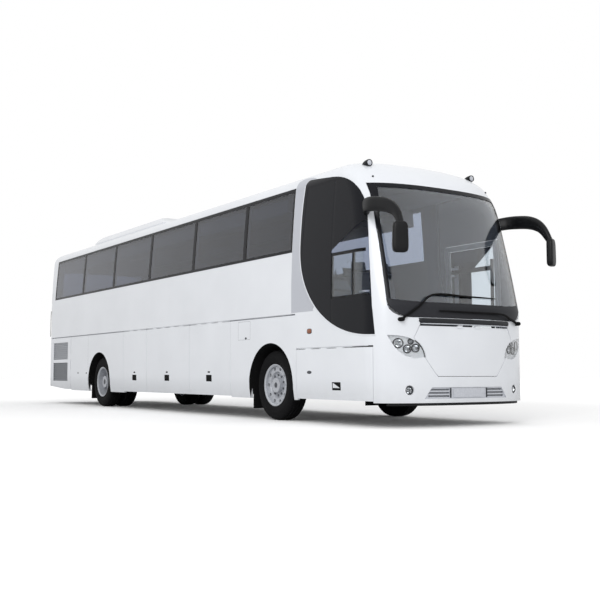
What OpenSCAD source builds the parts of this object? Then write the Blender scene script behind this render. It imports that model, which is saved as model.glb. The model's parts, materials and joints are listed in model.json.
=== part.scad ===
// Two-axle touring coach: hollow body of separate panels, lifting flaps, a swing-out
// entrance door, steered front wheels and twin rear wheels.
// X points forward, Y to the left, Z up. The origin is on the ground under the middle.

/* [Body] */
// Width over the side panels
body_w = 2550; // [2500:10:2600]
// Height of the roof's crown
roof_z = 3500; // [3450:10:3560]
// Height of the rounded roof, from the eaves to the crown
roof_h = 300; // [285:5:320]
// Height of the skirt's lower edge
skirt_z = 305; // [280:5:330]
// Thickness of walls and fixed panels
wall = 50; // [40:5:60]
// Thickness of flaps and lids
flap_t = 40; // [30:2:44]
// Height of the rail where waist panels and flaps meet
waist_z = 1476; // [1440:4:1500]
// Height of the side windows' glass band
window_h = 845; // [800:5:880]
// How far the sides lean in at the roof's edge
lean = 80; // [60:5:110]

/* [Front] */
// Depth of the rounded nose, seen from above
nose_d = 524; // [480:4:560]
// Angle of the windscreen to the vertical
rake = 13; // [10:0.5:14]
// Radius of the brow over the windscreen
brow_r = 900; // [800:20:1000]
// How far the mirrors stand ahead of the bumper
mirror_reach = 300; // [270:10:330]

/* [Wheels] */
// Distance between the axles
wheelbase = 6700; // [5800:50:7600]
// Front axle behind the bumper
front_overhang = 2730; // [2650:10:2850]
// Rear axle ahead of the tail
rear_overhang = 3170; // [2900:10:3400]
// Outer diameter of a tyre
tyre_d = 1000; // [980:5:1010]
// Width of a tyre
tyre_w = 280; // [260:5:285]
// Diameter of a rim's outer flange
rim_d = 600; // [590:2:610]
// Outer tyre faces behind the side panels
tyre_inset = 75; // [70:5:95]
// Room between a tyre and its arch
arch_gap = 100; // [90:5:110]

/* [Openings] */
// Gap round flaps and doors
gap = 6; // [5.5:0.5:8]
// Front edge of the entrance door behind the bumper
door_inset = 670; // [660:5:700]
// Width of the entrance door
door_w = 1080; // [1040:10:1100]
// Height of the entrance door's upper edge
door_top = 2550; // [2500:10:2560]
// Length of the arms that swing the entrance door
door_arm = 800; // [760:10:820]

/* [Interior] */
// Height of the passenger floor
floor_z = 1300; // [1280:5:1320]
// Height of the driver's platform
platform_z = 850; // [830:5:870]
// Distance between seat rows
seat_pitch = 760; // [740:10:790]
// Width of the aisle between the seats
aisle_w = 490; // [440:10:520]

/* [Hidden] */
$fn = 48;
seat_gap = 0.3;
pin_r = 4;
barrel_r = 6;
half = body_w / 2;
body_len = front_overhang + wheelbase + rear_overhang;
x_front = body_len / 2 - mirror_reach / 2;
x_rear = x_front - body_len;
axle_f = x_front - front_overhang;
axle_r = axle_f - wheelbase;
wheel_z = tyre_d / 2;
wheel_y = half - tyre_inset - tyre_w / 2;
arch_r = wheel_z + arch_gap;
twin_pitch = tyre_w + 50;

// Levels where the section changes: tuck under the skirt, lean above the belt, roof's edge.
tuck_z = 600;
tuck = 30;
frame_z = 1500;
rake_z = frame_z;
belt_z = 1900;
edge_z = roof_z - roof_h;
function lean_z(share) = belt_z + share * (edge_z - belt_z);
rack_z = lean_z(0.81);
nose_n = 2.5;
nose_steps = 10;
low_levels = [skirt_z, 450, tuck_z, frame_z, belt_z, lean_z(0.27), lean_z(0.54), lean_z(0.69), rack_z,
    lean_z(0.91), edge_z];
roof_steps = [0.2, 0.4, 0.58, 0.73, 0.85, 0.93, 0.98, 0.996];

// Stations along the side: tail, luggage bay between the arches, window posts, nose.
tail_depth = 180;
tail_x = x_rear + tail_depth;
cheek_x = axle_f + arch_r + 60;
pillar_x = cheek_x - 100;
nose_seam = 330;
seam_x = x_front - nose_seam;
bay_rear = axle_r + arch_r + 680;
bay_front = axle_f - arch_r - 580;
flap_xs = [for (v = [0, 0.257, 0.67, 1]) bay_rear + v * (bay_front - bay_rear)];
quarter_x = axle_r - 0.52 * rear_overhang;
window_rear = tail_x + 130;
window_front = pillar_x - 15;
window_xs = [for (v = [0, 0.178, 0.348, 0.5205, 0.697, 0.868, 1])
    window_rear + v * (window_front - window_rear)];
head_z = edge_z + 5;
sill_z = head_z - window_h;
flap_low = skirt_z + 20;
groove = 10.5;
flap_high = waist_z - groove;
wall_low = waist_z + groove;
wall_high = edge_z + 30;

// Front outlines: heights, and distances in from the sides.
screen_top = roof_z - 405;
screen_low = 1350;
hatch_top = 1250;
hatch_low = 632;
strip_low = 1275;
strip_high = 1345;
strip_half = half - 505;
hatch_half = half - 525;
hatch_axis_x = x_front + 6;
hatch_axis_z = 1262;
grille_top = 495;
grille_low = 356;
grille_half = half - 577;
plate_half = 291;
fog_y = half - 380;
fog_z = 461;
fog_r = 60;
fog_wall = 10;

// Tail outlines.
lid_half = half - 345;
lid_low = 640;
lid_high = 1700;
tail_glass_h = 800;
tail_glass_high = roof_z - 450;
tail_glass_low = tail_glass_high - tail_glass_h;
tail_glass_half = half - 295;

// Entrance door.
door_x1 = x_front - door_inset;
door_x0 = door_x1 - door_w;
door_low = skirt_z + 20;
post_x = door_x1 - 52;
post_y = half - wall - 70;
post_r = 25;
arm_pin_r = 12;
arm_zs = [760, 2150];

// Steering.
king_y = wheel_y - 190;
king_r = 22;
spindle_r = 40;
hub_r = 60;
running = 0.05;

// Half width of the section at height z, inset by t from the outer skin.
function half_w(z, t) =
    z <= tuck_z ? half - t - tuck * pow((tuck_z - z) / (tuck_z - skirt_z), 2)
    : z <= belt_z ? half - t
    : z <= edge_z ? half - t - lean * pow((z - belt_z) / (edge_z - belt_z), 1.5)
    : (half - lean - t) * pow(max(0, 1 - pow((z - edge_z) / (roof_z - t - edge_z), 2)), 1 / 6);

// Foremost point of the nose at height z: upright mask, raked screen, round brow.
brow_z = roof_z - brow_r;
brow_low = brow_z + brow_r * sin(rake);
brow_x = x_front - tan(rake) * (brow_low - rake_z) - brow_r * cos(rake);
function apex_x(z, t) =
    z <= rake_z ? x_front - t
    : z <= brow_low ? x_front - t - tan(rake) * (z - rake_z)
    : brow_x + sqrt(max(1, pow(brow_r - t, 2) - pow(z - brow_z, 2)));

// Depth of the nose at height z, and its skin: x from y.
function nose_depth(z, t) = nose_d * min(1, half_w(z, t) / (half - lean - t));
function nose_x(y, z, t) = apex_x(z, t) - nose_depth(z, t)
    * (1 - pow(max(0, 1 - pow(min(1, abs(y) / half_w(z, t)), nose_n)), 1 / nose_n));

// Levels from z0 to z1 of the skin inset by t, with the roof's own steps on top.
function levels(z0, z1, t) =
    let (all = concat(low_levels, [for (f = roof_steps) edge_z + f * (roof_z - t - edge_z)]))
    concat([z0], [for (z = all) if (z > z0 + 4 && z < z1 - 4) z], [z1]);
function crown(t) = edge_z + roof_steps[len(roof_steps) - 1] * (roof_z - t - edge_z);

// One level of the front part, from its back edge round the nose.
function level_ring(z, t, x_back) =
    let (w = half_w(z, t), a = apex_x(z, t), d = nose_depth(z, t))
    concat(
        [[x_back, w, z]],
        [for (i = [0 : 2 * nose_steps])
            let (f = 90 - 90 * i / nose_steps, s = pow(abs(sin(f)), 2 / nose_n))
            [a - d * (1 - pow(max(0, cos(f)), 2 / nose_n)), sign(f) * w * s, z]],
        [[x_back, -w, z]]);

// Solid front part of the body, inset by t, behind which it runs straight to x_back.
module nose_block(t, x_back, z0, z1) {
    zs = levels(z0, z1, t);
    m = 2 * nose_steps + 3;
    n = len(zs);
    points = [for (z = zs) each level_ring(z, t, x_back)];
    sides = [for (k = [0 : n - 2], i = [0 : m - 1])
        let (a = k * m + i, b = k * m + (i + 1) % m)
        each [[a, b, b + m], [a, b + m, a + m]]];
    polyhedron(points, concat(
        [[for (i = [m - 1 : -1 : 0]) i]],
        sides,
        [[for (i = [0 : m - 1]) (n - 1) * m + i]]));
}

// Shell of the front part between two insets, open below and behind.
module nose_shell(t0, t1, x_back, z0, z1) {
    difference() {
        nose_block(t0, x_back, z0, min(z1, crown(t0)));
        nose_block(t1, x_back - 10, z0 - 10, z1 < edge_z ? z1 + 10 : crown(t1));
    }
}

// Upright front below the windscreen frame, as a ring between two insets.
module front_plan(t) {
    polygon([for (p = level_ring(frame_z, t, pillar_x)) [p[0], p[1]]]);
}

module front_ring(t0, t1, x_back, z0, z1) {
    translate([0, 0, z0]) linear_extrude(z1 - z0) difference() {
        front_plan(t0);
        front_plan(t1);
        translate([x_back - body_len, -body_w]) square([body_len, 2 * body_w]);
    }
}

// The same ring, with the skirt's tuck along its sides.
module tucked_ring(t, x_back, z0, z1) {
    intersection() {
        front_ring(0, t, x_back, z0, z1);
        along_x(x_back - 20, x_front + 20)
            polygon(mirrored([for (z = levels(z0, z1, 0)) [half_w(z, 0), z]]));
    }
}

module along_x(x0, x1) {
    translate([x0, 0, 0]) rotate([90, 0, 90]) linear_extrude(x1 - x0) children();
}

module along_y(y0, y1) {
    translate([0, y1, 0]) rotate([90, 0, 0]) linear_extrude(y1 - y0) children();
}

module block(x0, x1, y0, y1, z0, z1) {
    translate([x0, y0, z0]) cube([x1 - x0, y1 - y0, z1 - z0]);
}

module both_sides() {
    children();
    mirror([0, 1, 0]) children();
}

// Left wall strip between two insets and two heights, drawn as a section.
module wall_section(t0, t1, z0, z1) {
    zs = levels(z0, z1, 0);
    polygon(concat(
        [for (z = zs) [half_w(z, t0), z]],
        [for (k = [len(zs) - 1 : -1 : 0]) [half_w(zs[k], t1), zs[k]]]));
}

module wall_strip(t0, t1, z0, z1, x0, x1) {
    along_x(x0, x1) wall_section(t0, t1, z0, z1);
}

function arc(c, r, a0, a1, n) = [for (i = [0 : n])
    let (a = a0 + (a1 - a0) * i / n) c + r * [cos(a), sin(a)]];
function bend(a, b, c, n) = [for (i = [0 : n])
    let (u = i / n) a * (1 - u) * (1 - u) + b * 2 * u * (1 - u) + c * u * u];
function inner(pts) = [for (k = [1 : len(pts) - 2]) pts[k]];
function mirrored(pts) = concat(pts, [for (k = [len(pts) - 1 : -1 : 0]) [-pts[k][0], pts[k][1]]]);

// Side outline of the large round-ended window beside the driver, drawn at the left.
quarter_low = 1136;
quarter_top = roof_z - 265;
quarter_mid = roof_z - 1140;
quarter_x0 = cheek_x + 135;
function quarter_outline(g) =
    let (a = seam_x - quarter_x0 - g, b = quarter_mid - quarter_low - g)
    let (foot = [seam_x - 10 - g, quarter_low + g], shoulder = [x_front - 557 - g, quarter_mid + 290])
    concat(
        [foot],
        [for (i = [1 : 12])
            let (f = 7.5 * i)
            [seam_x - a * pow(sin(f), 2 / 2.4), quarter_mid - b * pow(cos(f), 2 / 2.4)]],
        [[quarter_x0 + 55 + g, quarter_top - g]],
        bend([x_front - 1250, quarter_top - g], [x_front - 650 - g, quarter_top - 35 - g], shoulder, 6),
        inner(bend(shoulder, [x_front - 400 - g, quarter_mid - 510], foot, 4)));

module quarter_window(g, y0, y1) {
    along_y(y0, y1) polygon(quarter_outline(g));
}

// Windscreen outline, seen from ahead.
module screen_window(g) {
    side = half - 139 - g;
    along_x(x_front - 1830, x_front + 100) polygon(mirrored(concat(
        [[side - 32, screen_top - g], [side, frame_z + 60]],
        bend([side, frame_z + 10], [side - 26, screen_low + g], [half - 425, screen_low + g], 5))));
}

// Hinge along x: fixed rod and its lugs, hung from the panel above.
hinge_pitch = 360;
knuckle_l = 120;
function hinge_count(l) = max(2, floor((l - 160) / hinge_pitch));
function hinge_x(x0, x1, k) = (x0 + x1) / 2 + (k - (hinge_count(x1 - x0) - 1) / 2) * hinge_pitch;

module rod_x(r, x0, x1) {
    translate([x0, 0, 0]) rotate([0, 90, 0]) cylinder(r = r, h = x1 - x0);
}

module hinge_fixed(x0, x1, up) {
    rod_x(pin_r, x0 + 20, x1 - 20);
    for (k = [0 : hinge_count(x1 - x0) - 1])
        for (e = [-1, 1])
            let (c = hinge_x(x0, x1, k) + e * (knuckle_l / 2 + 24))
            block(c - 18, c + 18, -barrel_r, 2, -barrel_r, up);
}

module hinge_moving(x0, x1, down) {
    for (k = [0 : hinge_count(x1 - x0) - 1])
        let (c = hinge_x(x0, x1, k))
        difference() {
            union() {
                rod_x(barrel_r, c - knuckle_l / 2, c + knuckle_l / 2);
                block(c - knuckle_l / 2, c + knuckle_l / 2, -barrel_r, barrel_r, -down, 0);
            }
            rod_x(pin_r + seat_gap, c - knuckle_l, c + knuckle_l);
        }
}

// Recessed paddle latch, drawn on the left side at height z.
latch_w = 190;
latch_h = 105;
latch_d = 14;
module latch_pocket(x, y, z) {
    block(x - latch_w / 2, x + latch_w / 2, y - latch_d, y + 50, z - latch_h / 2, z + latch_h / 2);
}
module latch_paddle(x, y, z) {
    block(x - latch_w / 2 + 16, x + latch_w / 2 - 16, y - latch_d - 2, y - 4,
        z - latch_h / 2 + 30, z + latch_h / 2 - 8);
}

module arch_cut(x, r) {
    along_y(-half - 200, half + 200) union() {
        translate([x, wheel_z]) circle(r);
        translate([x - r, -10]) square([2 * r, wheel_z + 10]);
    }
}

// Roof from the tail panel to the brow.
module roof_panel() {
    color("white") along_x(tail_x, pillar_x) difference() {
        polygon(mirrored([for (z = levels(wall_high, crown(0), 0)) [half_w(z, 0), z]]));
        polygon(mirrored(concat(
            [[half_w(wall_high, wall), wall_high - 10]],
            [for (z = levels(wall_high, crown(wall), wall)) [half_w(z, wall), z]])));
    }
}

// Side wall with its window openings; the panes lie in a rebate over the pillars.
pillar_w = 110;
pane_in = 3;
pane_gap = 10;
rebate = 12;
rail_t = 60;
module side_wall_left_shape() {
    difference() {
        union() {
            wall_strip(0, wall, wall_low, wall_high, tail_x, pillar_x);
            block(tail_x, pillar_x, half - wall - rail_t, half - wall, floor_z, wall_low + 60);
            block(pillar_x, cheek_x, half - wall - rail_t, half - wall, floor_z, frame_z - 20);
            wall_strip(0, wall, wall_low, frame_z, pillar_x, cheek_x);
        }
        wall_strip(-20, rebate, sill_z, head_z, window_xs[0], pillar_x - 6);
        for (k = [0 : len(window_xs) - 2])
            block(window_xs[k] + pillar_w / 2, window_xs[k + 1] - pillar_w / 2, half - 300, half + 50,
                sill_z + 40, head_z - 40);
    }
    for (k = [0 : len(flap_xs) - 2])
        translate([0, half - barrel_r, waist_z])
            hinge_fixed(flap_xs[k] + gap / 2, flap_xs[k + 1] - gap / 2, groove + 8);
}

module side_wall_left() {
    color("white") side_wall_left_shape();
}

module side_wall_right() {
    color("white") mirror([0, 1, 0]) side_wall_left_shape();
}

module side_panes() {
    for (k = [0 : len(window_xs) - 2])
        wall_strip(pane_in, rebate - seat_gap, sill_z + pane_in, head_z - pane_in,
            window_xs[k] + (k == 0 ? pane_in : pane_gap / 2),
            k == len(window_xs) - 2 ? pillar_x - pane_gap : window_xs[k + 1] - pane_gap / 2);
}

module side_glass_left() {
    color([0.2, 0.21, 0.23]) side_panes();
}

module side_glass_right() {
    color([0.2, 0.21, 0.23]) mirror([0, 1, 0]) side_panes();
}

// Fixed lower panels; the last one runs forward to the seam with the mask.
module cheek_shape() {
    difference() {
        intersection() {
            tucked_ring(wall, cheek_x, skirt_z, frame_z);
            block(cheek_x, seam_x, 0, half + 10, skirt_z - 5, frame_z);
        }
        quarter_window(0, half - 400, half + 50);
    }
}

module skirt_shape() {
    difference() {
        wall_strip(0, wall, skirt_z, flap_high, quarter_x, flap_xs[0] - gap / 2);
        arch_cut(axle_r, arch_r);
    }
    difference() {
        wall_strip(0, wall, skirt_z, flap_high, flap_xs[3] + gap / 2, cheek_x);
        arch_cut(axle_f, arch_r);
    }
}

// Slanted lower edge of the tail.
tail_rise = 85;
module tail_slope() {
    along_y(-half - 50, half + 50) polygon([
        [quarter_x - 130, skirt_z - 60], [quarter_x - 130, skirt_z],
        [x_rear - 5, skirt_z + tail_rise], [x_rear - 5, skirt_z - 60]]);
}

// Grille openings of the rear corners: low and high edges.
corner_grille_zs = [[506, 909], [981, 1357]];
corner_x0 = tail_x + 140;
corner_x1 = quarter_x - 240;
slat_pitch = 42;
slat_t = 12;
module corner_holes() {
    for (g = corner_grille_zs)
        block(corner_x0, corner_x1, half - 200, half + 50, g[0], g[1]);
}
module corner_slats() {
    for (g = corner_grille_zs)
        for (z = [g[0] + slat_pitch / 2 : slat_pitch : g[1] - slat_t])
            block(corner_x0 - 4, corner_x1 + 4, half - 30, half - 8, z, z + slat_t);
}

service_x0 = cheek_x + 30;
service_x1 = seam_x - 40;
service_z = 990;
service_hinge_l = service_x1 - service_x0 - 370;
rad_x = quarter_x - 45;
rad_mid = 860;
rad_hinge_l = 900;

module skirt_right() {
    color("white") mirror([0, 1, 0]) {
        skirt_shape();
        difference() {
            cheek_shape();
            block(service_x0 - gap, service_x1 + gap, half - 400, half + 50,
                skirt_z - 10, service_z + 2 * groove);
        }
        translate([0, half - barrel_r, service_z + groove])
            hinge_fixed(service_x0, service_x0 + service_hinge_l, groove + 8);
        wall_strip(0, wall, skirt_z, flap_high, rad_x + groove, quarter_x);
        translate([rad_x, half - barrel_r, rad_mid]) rotate([0, 90, 0])
            hinge_fixed(-rad_hinge_l / 2, rad_hinge_l / 2, groove + 8);
    }
}

module skirt_left() {
    color("white") {
        skirt_shape();
        difference() {
            cheek_shape();
            block(door_x0 - gap, door_x1 + gap, half - 400, half + 50, skirt_z - 10, door_top);
        }
        difference() {
            wall_strip(0, wall, skirt_z, flap_high, tail_x, quarter_x);
            tail_slope();
            corner_holes();
        }
        corner_slats();
    }
}

// Radiator door at the right rear corner, hung at its front edge.
module radiator_door() {
    color("white") mirror([0, 1, 0]) {
        difference() {
            wall_strip(0, flap_t, flap_low, flap_high, tail_x + gap, rad_x - groove);
            tail_slope();
            corner_holes();
        }
        corner_slats();
        translate([rad_x, half - barrel_r, rad_mid]) rotate([0, 90, 0])
            hinge_moving(-rad_hinge_l / 2, rad_hinge_l / 2, groove + 10);
    }
}

// Front frame: pillars and brow round the windscreen.
module windscreen_frame() {
    color("white") difference() {
        nose_shell(0, wall, pillar_x, frame_z, roof_z);
        screen_window(0);
        quarter_window(0, half - 600, half + 50);
        quarter_window(0, -half - 50, -half + 600);
        block(pillar_x - 20, arc_end, -half - 50, half + 50, frame_z - 20, wall_high);
        block(door_x0, door_x1 + gap, half - 400, half + 50, frame_z - 20, door_top + gap);
    }
}

// Silver pillars behind the quarter windows, each with the window's round rear edge.
arc_end = cheek_x + 640;
module arc_pillar() {
    difference() {
        intersection() {
            nose_shell(0, wall, pillar_x, frame_z, wall_high);
            block(pillar_x, arc_end, 0, half + 10, frame_z, wall_high);
        }
        quarter_window(0, half - 600, half + 50);
    }
}

module arc_pillars() {
    color("silver") {
        mirror([0, 1, 0]) arc_pillar();
        difference() {
            arc_pillar();
            block(door_x0 - gap, door_x1, 0, half + 50, frame_z - 10, door_top + gap);
        }
    }
}

glass_t0 = 3;
glass_t1 = 12;
module windscreen() {
    color([0.3, 0.32, 0.35]) intersection() {
        nose_shell(glass_t0, glass_t1, x_front - 1930, screen_low - 40, screen_top + 60);
        screen_window(seat_gap);
    }
}

module quarter_glass() {
    intersection() {
        nose_shell(glass_t0, glass_t1, pillar_x, quarter_low - 40, quarter_top + 30);
        quarter_window(seat_gap, half - 600, half + 50);
    }
}

module driver_glass() {
    color([0.16, 0.17, 0.19]) mirror([0, 1, 0]) quarter_glass();
}

module door_quarter_glass() {
    color([0.16, 0.17, 0.19]) difference() {
        quarter_glass();
        block(door_x0 - gap, door_x1 + gap, half - 500, half + 50, skirt_z - 10, door_top + gap);
    }
}

// Lower front moulding.
lamp_tip_out = [half - 138, 1134];
lamp_tip_in = [half - 597, 872];
function lamp_outline(g) =
    let (out = lamp_tip_out + [g, g / 2], in = lamp_tip_in - [g, g])
    concat(
        bend(out, [half - 545 - 2 * g, 1130 + 2 * g], in, 8),
        inner(bend(in, [half - 275, 770 - 2 * g], out, 8)));

module lamp_prism(g) {
    along_x(seam_x - 100, x_front + 60) polygon(lamp_outline(g));
}

function hatch_outline(g) =
    let (w = hatch_half - g)
    mirrored([[w, hatch_top - g], [w + 82, 1100], [w - 44, 885], [w - 220, hatch_low + 30],
        [w - 255, hatch_low + g]]);

module hatch_prism(g) {
    along_x(seam_x - 100, x_front + 60) polygon(hatch_outline(g));
}

module grille_prism(g) {
    along_x(seam_x - 100, x_front + 60) polygon(mirrored([[grille_half - 108 - g, grille_top - g],
        [grille_half - g, grille_low + g]]));
}

module strip_prism(g) {
    along_x(seam_x - 100, x_front + 60) polygon(mirrored([[strip_half - g, strip_high - g],
        [strip_half - 30 - g, strip_low + g]]));
}

module front_mask() {
    color("white") difference() {
        tucked_ring(wall, seam_x, skirt_z, frame_z);
        screen_window(0);
        hatch_prism(-gap);
        block(seam_x, x_front + 50, -hatch_half, hatch_half, hatch_top, strip_low + 5);
        strip_prism(-seat_gap);
        grille_prism(-seat_gap);
        both_sides() {
            lamp_prism(0);
            translate([seam_x - 50, fog_y, fog_z]) rod_x(fog_r + seat_gap, 0, 500);
        }
    }
}

// Hatch: thin rim and a smaller stiffener behind it, so the rim swings clear of the mask.
hatch_rim_t = 12;
hatch_set_in = 20;
hatch_lamp_gap = gap + 2;
module hatch_layer(t0, t1, g) {
    difference() {
        intersection() {
            front_ring(t0, t1, seam_x - 20, hatch_low - 20, hatch_top + 20);
            hatch_prism(g);
        }
        both_sides() lamp_prism(hatch_lamp_gap + g);
    }
}
module front_hatch() {
    color("white") {
        hatch_layer(0, hatch_rim_t, 0);
        hatch_layer(hatch_rim_t - 2, flap_t, hatch_set_in);
        for (e = [-1, 1])
            translate([hatch_axis_x, e * 150, hatch_axis_z]) rotate([0, 0, 90]) difference() {
                union() {
                    rod_x(barrel_r, -40, 40);
                    block(-40, 40, 0, 30, -30, 0);
                }
                rod_x(pin_r + seat_gap, -50, 50);
            }
    }
}

// Black bar over the hatch, with the rod that the hatch hangs from.
module scuttle_strip() {
    color([0.05, 0.05, 0.055]) {
        intersection() {
            front_ring(-24, 30, seam_x, strip_low - 40, strip_high + 40);
            strip_prism(0);
        }
        for (e = [-1, 1]) translate([hatch_axis_x, e * 150, hatch_axis_z]) rotate([0, 0, 90]) {
            rod_x(pin_r, -80, 80);
            for (c = [-62, 62])
                block(c - 16, c + 16, -2, barrel_r + 14, -barrel_r, strip_low - hatch_axis_z + 10);
        }
    }
}

// Bumper grille with a blank plate between two slatted bays.
module front_grille() {
    color([0.6, 0.6, 0.62]) difference() {
        intersection() {
            front_ring(8, 32, seam_x, grille_low - 40, grille_top + 40);
            grille_prism(0);
        }
        both_sides() for (z = [grille_low + 20 : 40 : grille_top - 39])
            block(seam_x, x_front + 20, plate_half + 30, grille_half - 57, z, z + 22);
    }
}

// Lamp bowls: half spacing, height and radius of each.
lamp_bowls = [[half - 265, 1035, 58], [half - 370, 965, 50], [half - 475, 975, 50], [half - 413, 1055, 34]];
fog_x = nose_x(fog_y, fog_z, 14);
module headlamps() {
    color("silver") both_sides() {
        difference() {
            intersection() {
                front_ring(22, 100, seam_x - 60, 780, 1220);
                lamp_prism(-seat_gap);
            }
            for (b = lamp_bowls)
                translate([nose_x(b[0], b[1], 22) - 45, b[0], b[1]]) rotate([0, 90, 0])
                    cylinder(r1 = b[2] * 0.45, r2 = b[2] * 0.95, h = 60);
        }
        translate([0, fog_y, fog_z]) difference() {
            rod_x(fog_r, fog_x - 80, fog_x);
            rod_x(fog_r - fog_wall, fog_x - 60, fog_x + 50);
        }
    }
}

module lamp_lenses() {
    color([0.85, 0.88, 0.9]) both_sides() {
        intersection() {
            front_ring(2, 8, seam_x - 60, 780, 1220);
            lamp_prism(-seat_gap);
        }
        translate([0, fog_y, fog_z])
            rod_x(fog_r - fog_wall - seat_gap, fog_x - 14, fog_x - 2);
    }
}

// Tail: flat panel with rounded corners.
tail_r = 150;
tail_edge_r = 120;
module tail_block(t) {
    intersection() {
        along_x(x_rear + t, tail_x + (t > 0 ? 10 : 0))
            polygon(mirrored([for (z = levels(skirt_z - (t > 0 ? 10 : 0), crown(t), t)) [half_w(z, t), z]]));
        linear_extrude(roof_z + 50) polygon(mirror_y(concat(
            [[tail_x + 20, half - t]],
            arc([x_rear + tail_r, half - tail_r], tail_r - t, 90, 180, 6))));
        along_y(-half - 10, half + 10) polygon(concat(
            [[tail_x + 20, 0], [tail_x + 20, roof_z - t + 5]],
            arc([x_rear + tail_edge_r, roof_z - tail_edge_r], tail_edge_r - t, 90, 180, 5),
            [[x_rear + t, 0]]));
    }
}
function mirror_y(pts) = concat(pts, [for (k = [len(pts) - 1 : -1 : 0]) [pts[k][0], -pts[k][1]]]);

// Tail lamps: half spacing and height of each round lamp.
tail_lamp_y = half - 195;
tail_lamp_zs = [1000, 1180, 1360];
tail_lamp_r = 65;
module tail_panel() {
    color("white") {
        difference() {
            tail_block(0);
            tail_block(wall);
            tail_slope();
            block(x_rear - 20, x_rear + 120, -lid_half - gap, lid_half + gap,
                lid_low - gap, lid_high + 2 * groove);
            block(x_rear - 20, x_rear + 120, -tail_glass_half, tail_glass_half,
                tail_glass_low, tail_glass_high);
            both_sides() for (z = tail_lamp_zs)
                translate([0, tail_lamp_y, z]) rod_x(tail_lamp_r + seat_gap, x_rear - 30, x_rear + 120);
        }
        translate([x_rear + barrel_r, 0, lid_high + groove]) rotate([0, 0, 90])
            hinge_fixed(-lid_half, lid_half, groove + 8);
    }
}

module tail_glass() {
    color([0.2, 0.21, 0.23])
        block(x_rear + 4, x_rear + 14, -tail_glass_half + seat_gap, tail_glass_half - seat_gap,
            tail_glass_low + seat_gap, tail_glass_high - seat_gap);
}

module tail_lamps() {
    color([0.6, 0.05, 0.05]) both_sides() for (z = tail_lamp_zs)
        translate([0, tail_lamp_y, z]) rod_x(tail_lamp_r, x_rear + 3, x_rear + wall);
}

lid_slots = 7;
slot_half = lid_half - 370;
module engine_lid() {
    color("white") {
        difference() {
            block(x_rear, x_rear + flap_t, -lid_half, lid_half, lid_low, lid_high);
            for (k = [0 : lid_slots - 1])
                let (z = lid_low + 480 + 62 * k)
                block(x_rear - 10, x_rear + 60, -slot_half, slot_half, z, z + 26);
            block(x_rear - 1, x_rear + 10, -260, 260, lid_low + 190, lid_low + 320);
        }
        translate([x_rear + barrel_r, 0, lid_high + groove]) rotate([0, 0, 90])
            hinge_moving(-lid_half, lid_half, groove + 10);
    }
}

// Floors: passenger deck, driver's platform, entrance step.
deck_t = 50;
deck_x0 = tail_x + 400;
deck_half = half - wall - rail_t;
step_z = 400;
door_step_y = half - 655;
module floor_deck() {
    color([0.3, 0.3, 0.32]) difference() {
        union() {
            block(deck_x0, cheek_x, -half + wall, half - wall, floor_z - deck_t, floor_z);
            block(cheek_x - deck_t, cheek_x, -deck_half, deck_half, platform_z - deck_t, floor_z);
            block(cheek_x - deck_t, x_front - 480, -deck_half, door_step_y, platform_z - deck_t, platform_z);
            block(cheek_x - deck_t, door_x0 - 30, -deck_half, deck_half, platform_z - deck_t, platform_z);
            block(door_x0 - 30, door_x1 + 60, door_step_y - deck_t, door_step_y, step_z, platform_z);
            block(door_x0 - 30, door_x1 + 60, door_step_y - deck_t, half - wall - 40, step_z - 40, step_z);
            block(door_x0 - 30, door_x0, door_step_y - deck_t, half - wall - 40, step_z - 40, platform_z);
            translate([post_x, post_y, step_z - 20]) cylinder(r = post_r + 22, h = 60);
        }
        translate([post_x, post_y, step_z]) cylinder(r = post_r + seat_gap, h = 200);
    }
}

// Luggage bay floor and its two bulkheads, which follow the side panels.
bay_low = flap_low + 20;
bay_half = half - wall - tuck - 10;
bulkhead_gap = 2;
module bulkhead(x) {
    along_x(x - 25, x + 25)
        polygon(mirrored([for (z = levels(bay_low, floor_z - deck_t, 0))
            [half_w(z, wall + bulkhead_gap), z]]));
}
module luggage_floor() {
    color([0.25, 0.25, 0.27]) {
        block(bay_rear - 20, bay_front + 20, -bay_half, bay_half, bay_low, bay_low + 40);
        bulkhead(bay_rear - 15);
        bulkhead(bay_front + 15);
    }
}

// Arch liners with the flaps behind the wheels.
liner_t = 12;
liner_gap = 16;
flap_y0 = wheel_y - tyre_w / 2 - 20;
module liner(x, y_in) {
    r = arch_r + liner_gap;
    difference() {
        along_y(y_in, half - wall) difference() {
            translate([x, wheel_z]) circle(r);
            translate([x - r - 5, -r]) square([2 * r + 10, r + wheel_z - 50]);
        }
        along_y(y_in + liner_t, half) union() {
            translate([x, wheel_z]) circle(r - liner_t);
            translate([x - r + liner_t, -r]) square([2 * (r - liner_t), r + wheel_z]);
        }
        wall_strip(-20, wall + seat_gap, skirt_z, tuck_z, x - r - 10, x + r + 10);
        children();
    }
    block(x - r, x - r + liner_t, flap_y0, half - wall - tuck - 10, 150, wheel_z - 50);
}

module wheel_housings() {
    color([0.07, 0.07, 0.075]) both_sides() {
        liner(axle_f, wheel_y - 540);
        liner(axle_r, wheel_y - twin_pitch - tyre_w / 2 - 90)
            translate([axle_r, 0, wheel_z]) rotate([90, 0, 0]) cylinder(r = 200, h = body_w, center = true);
    }
}

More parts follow.
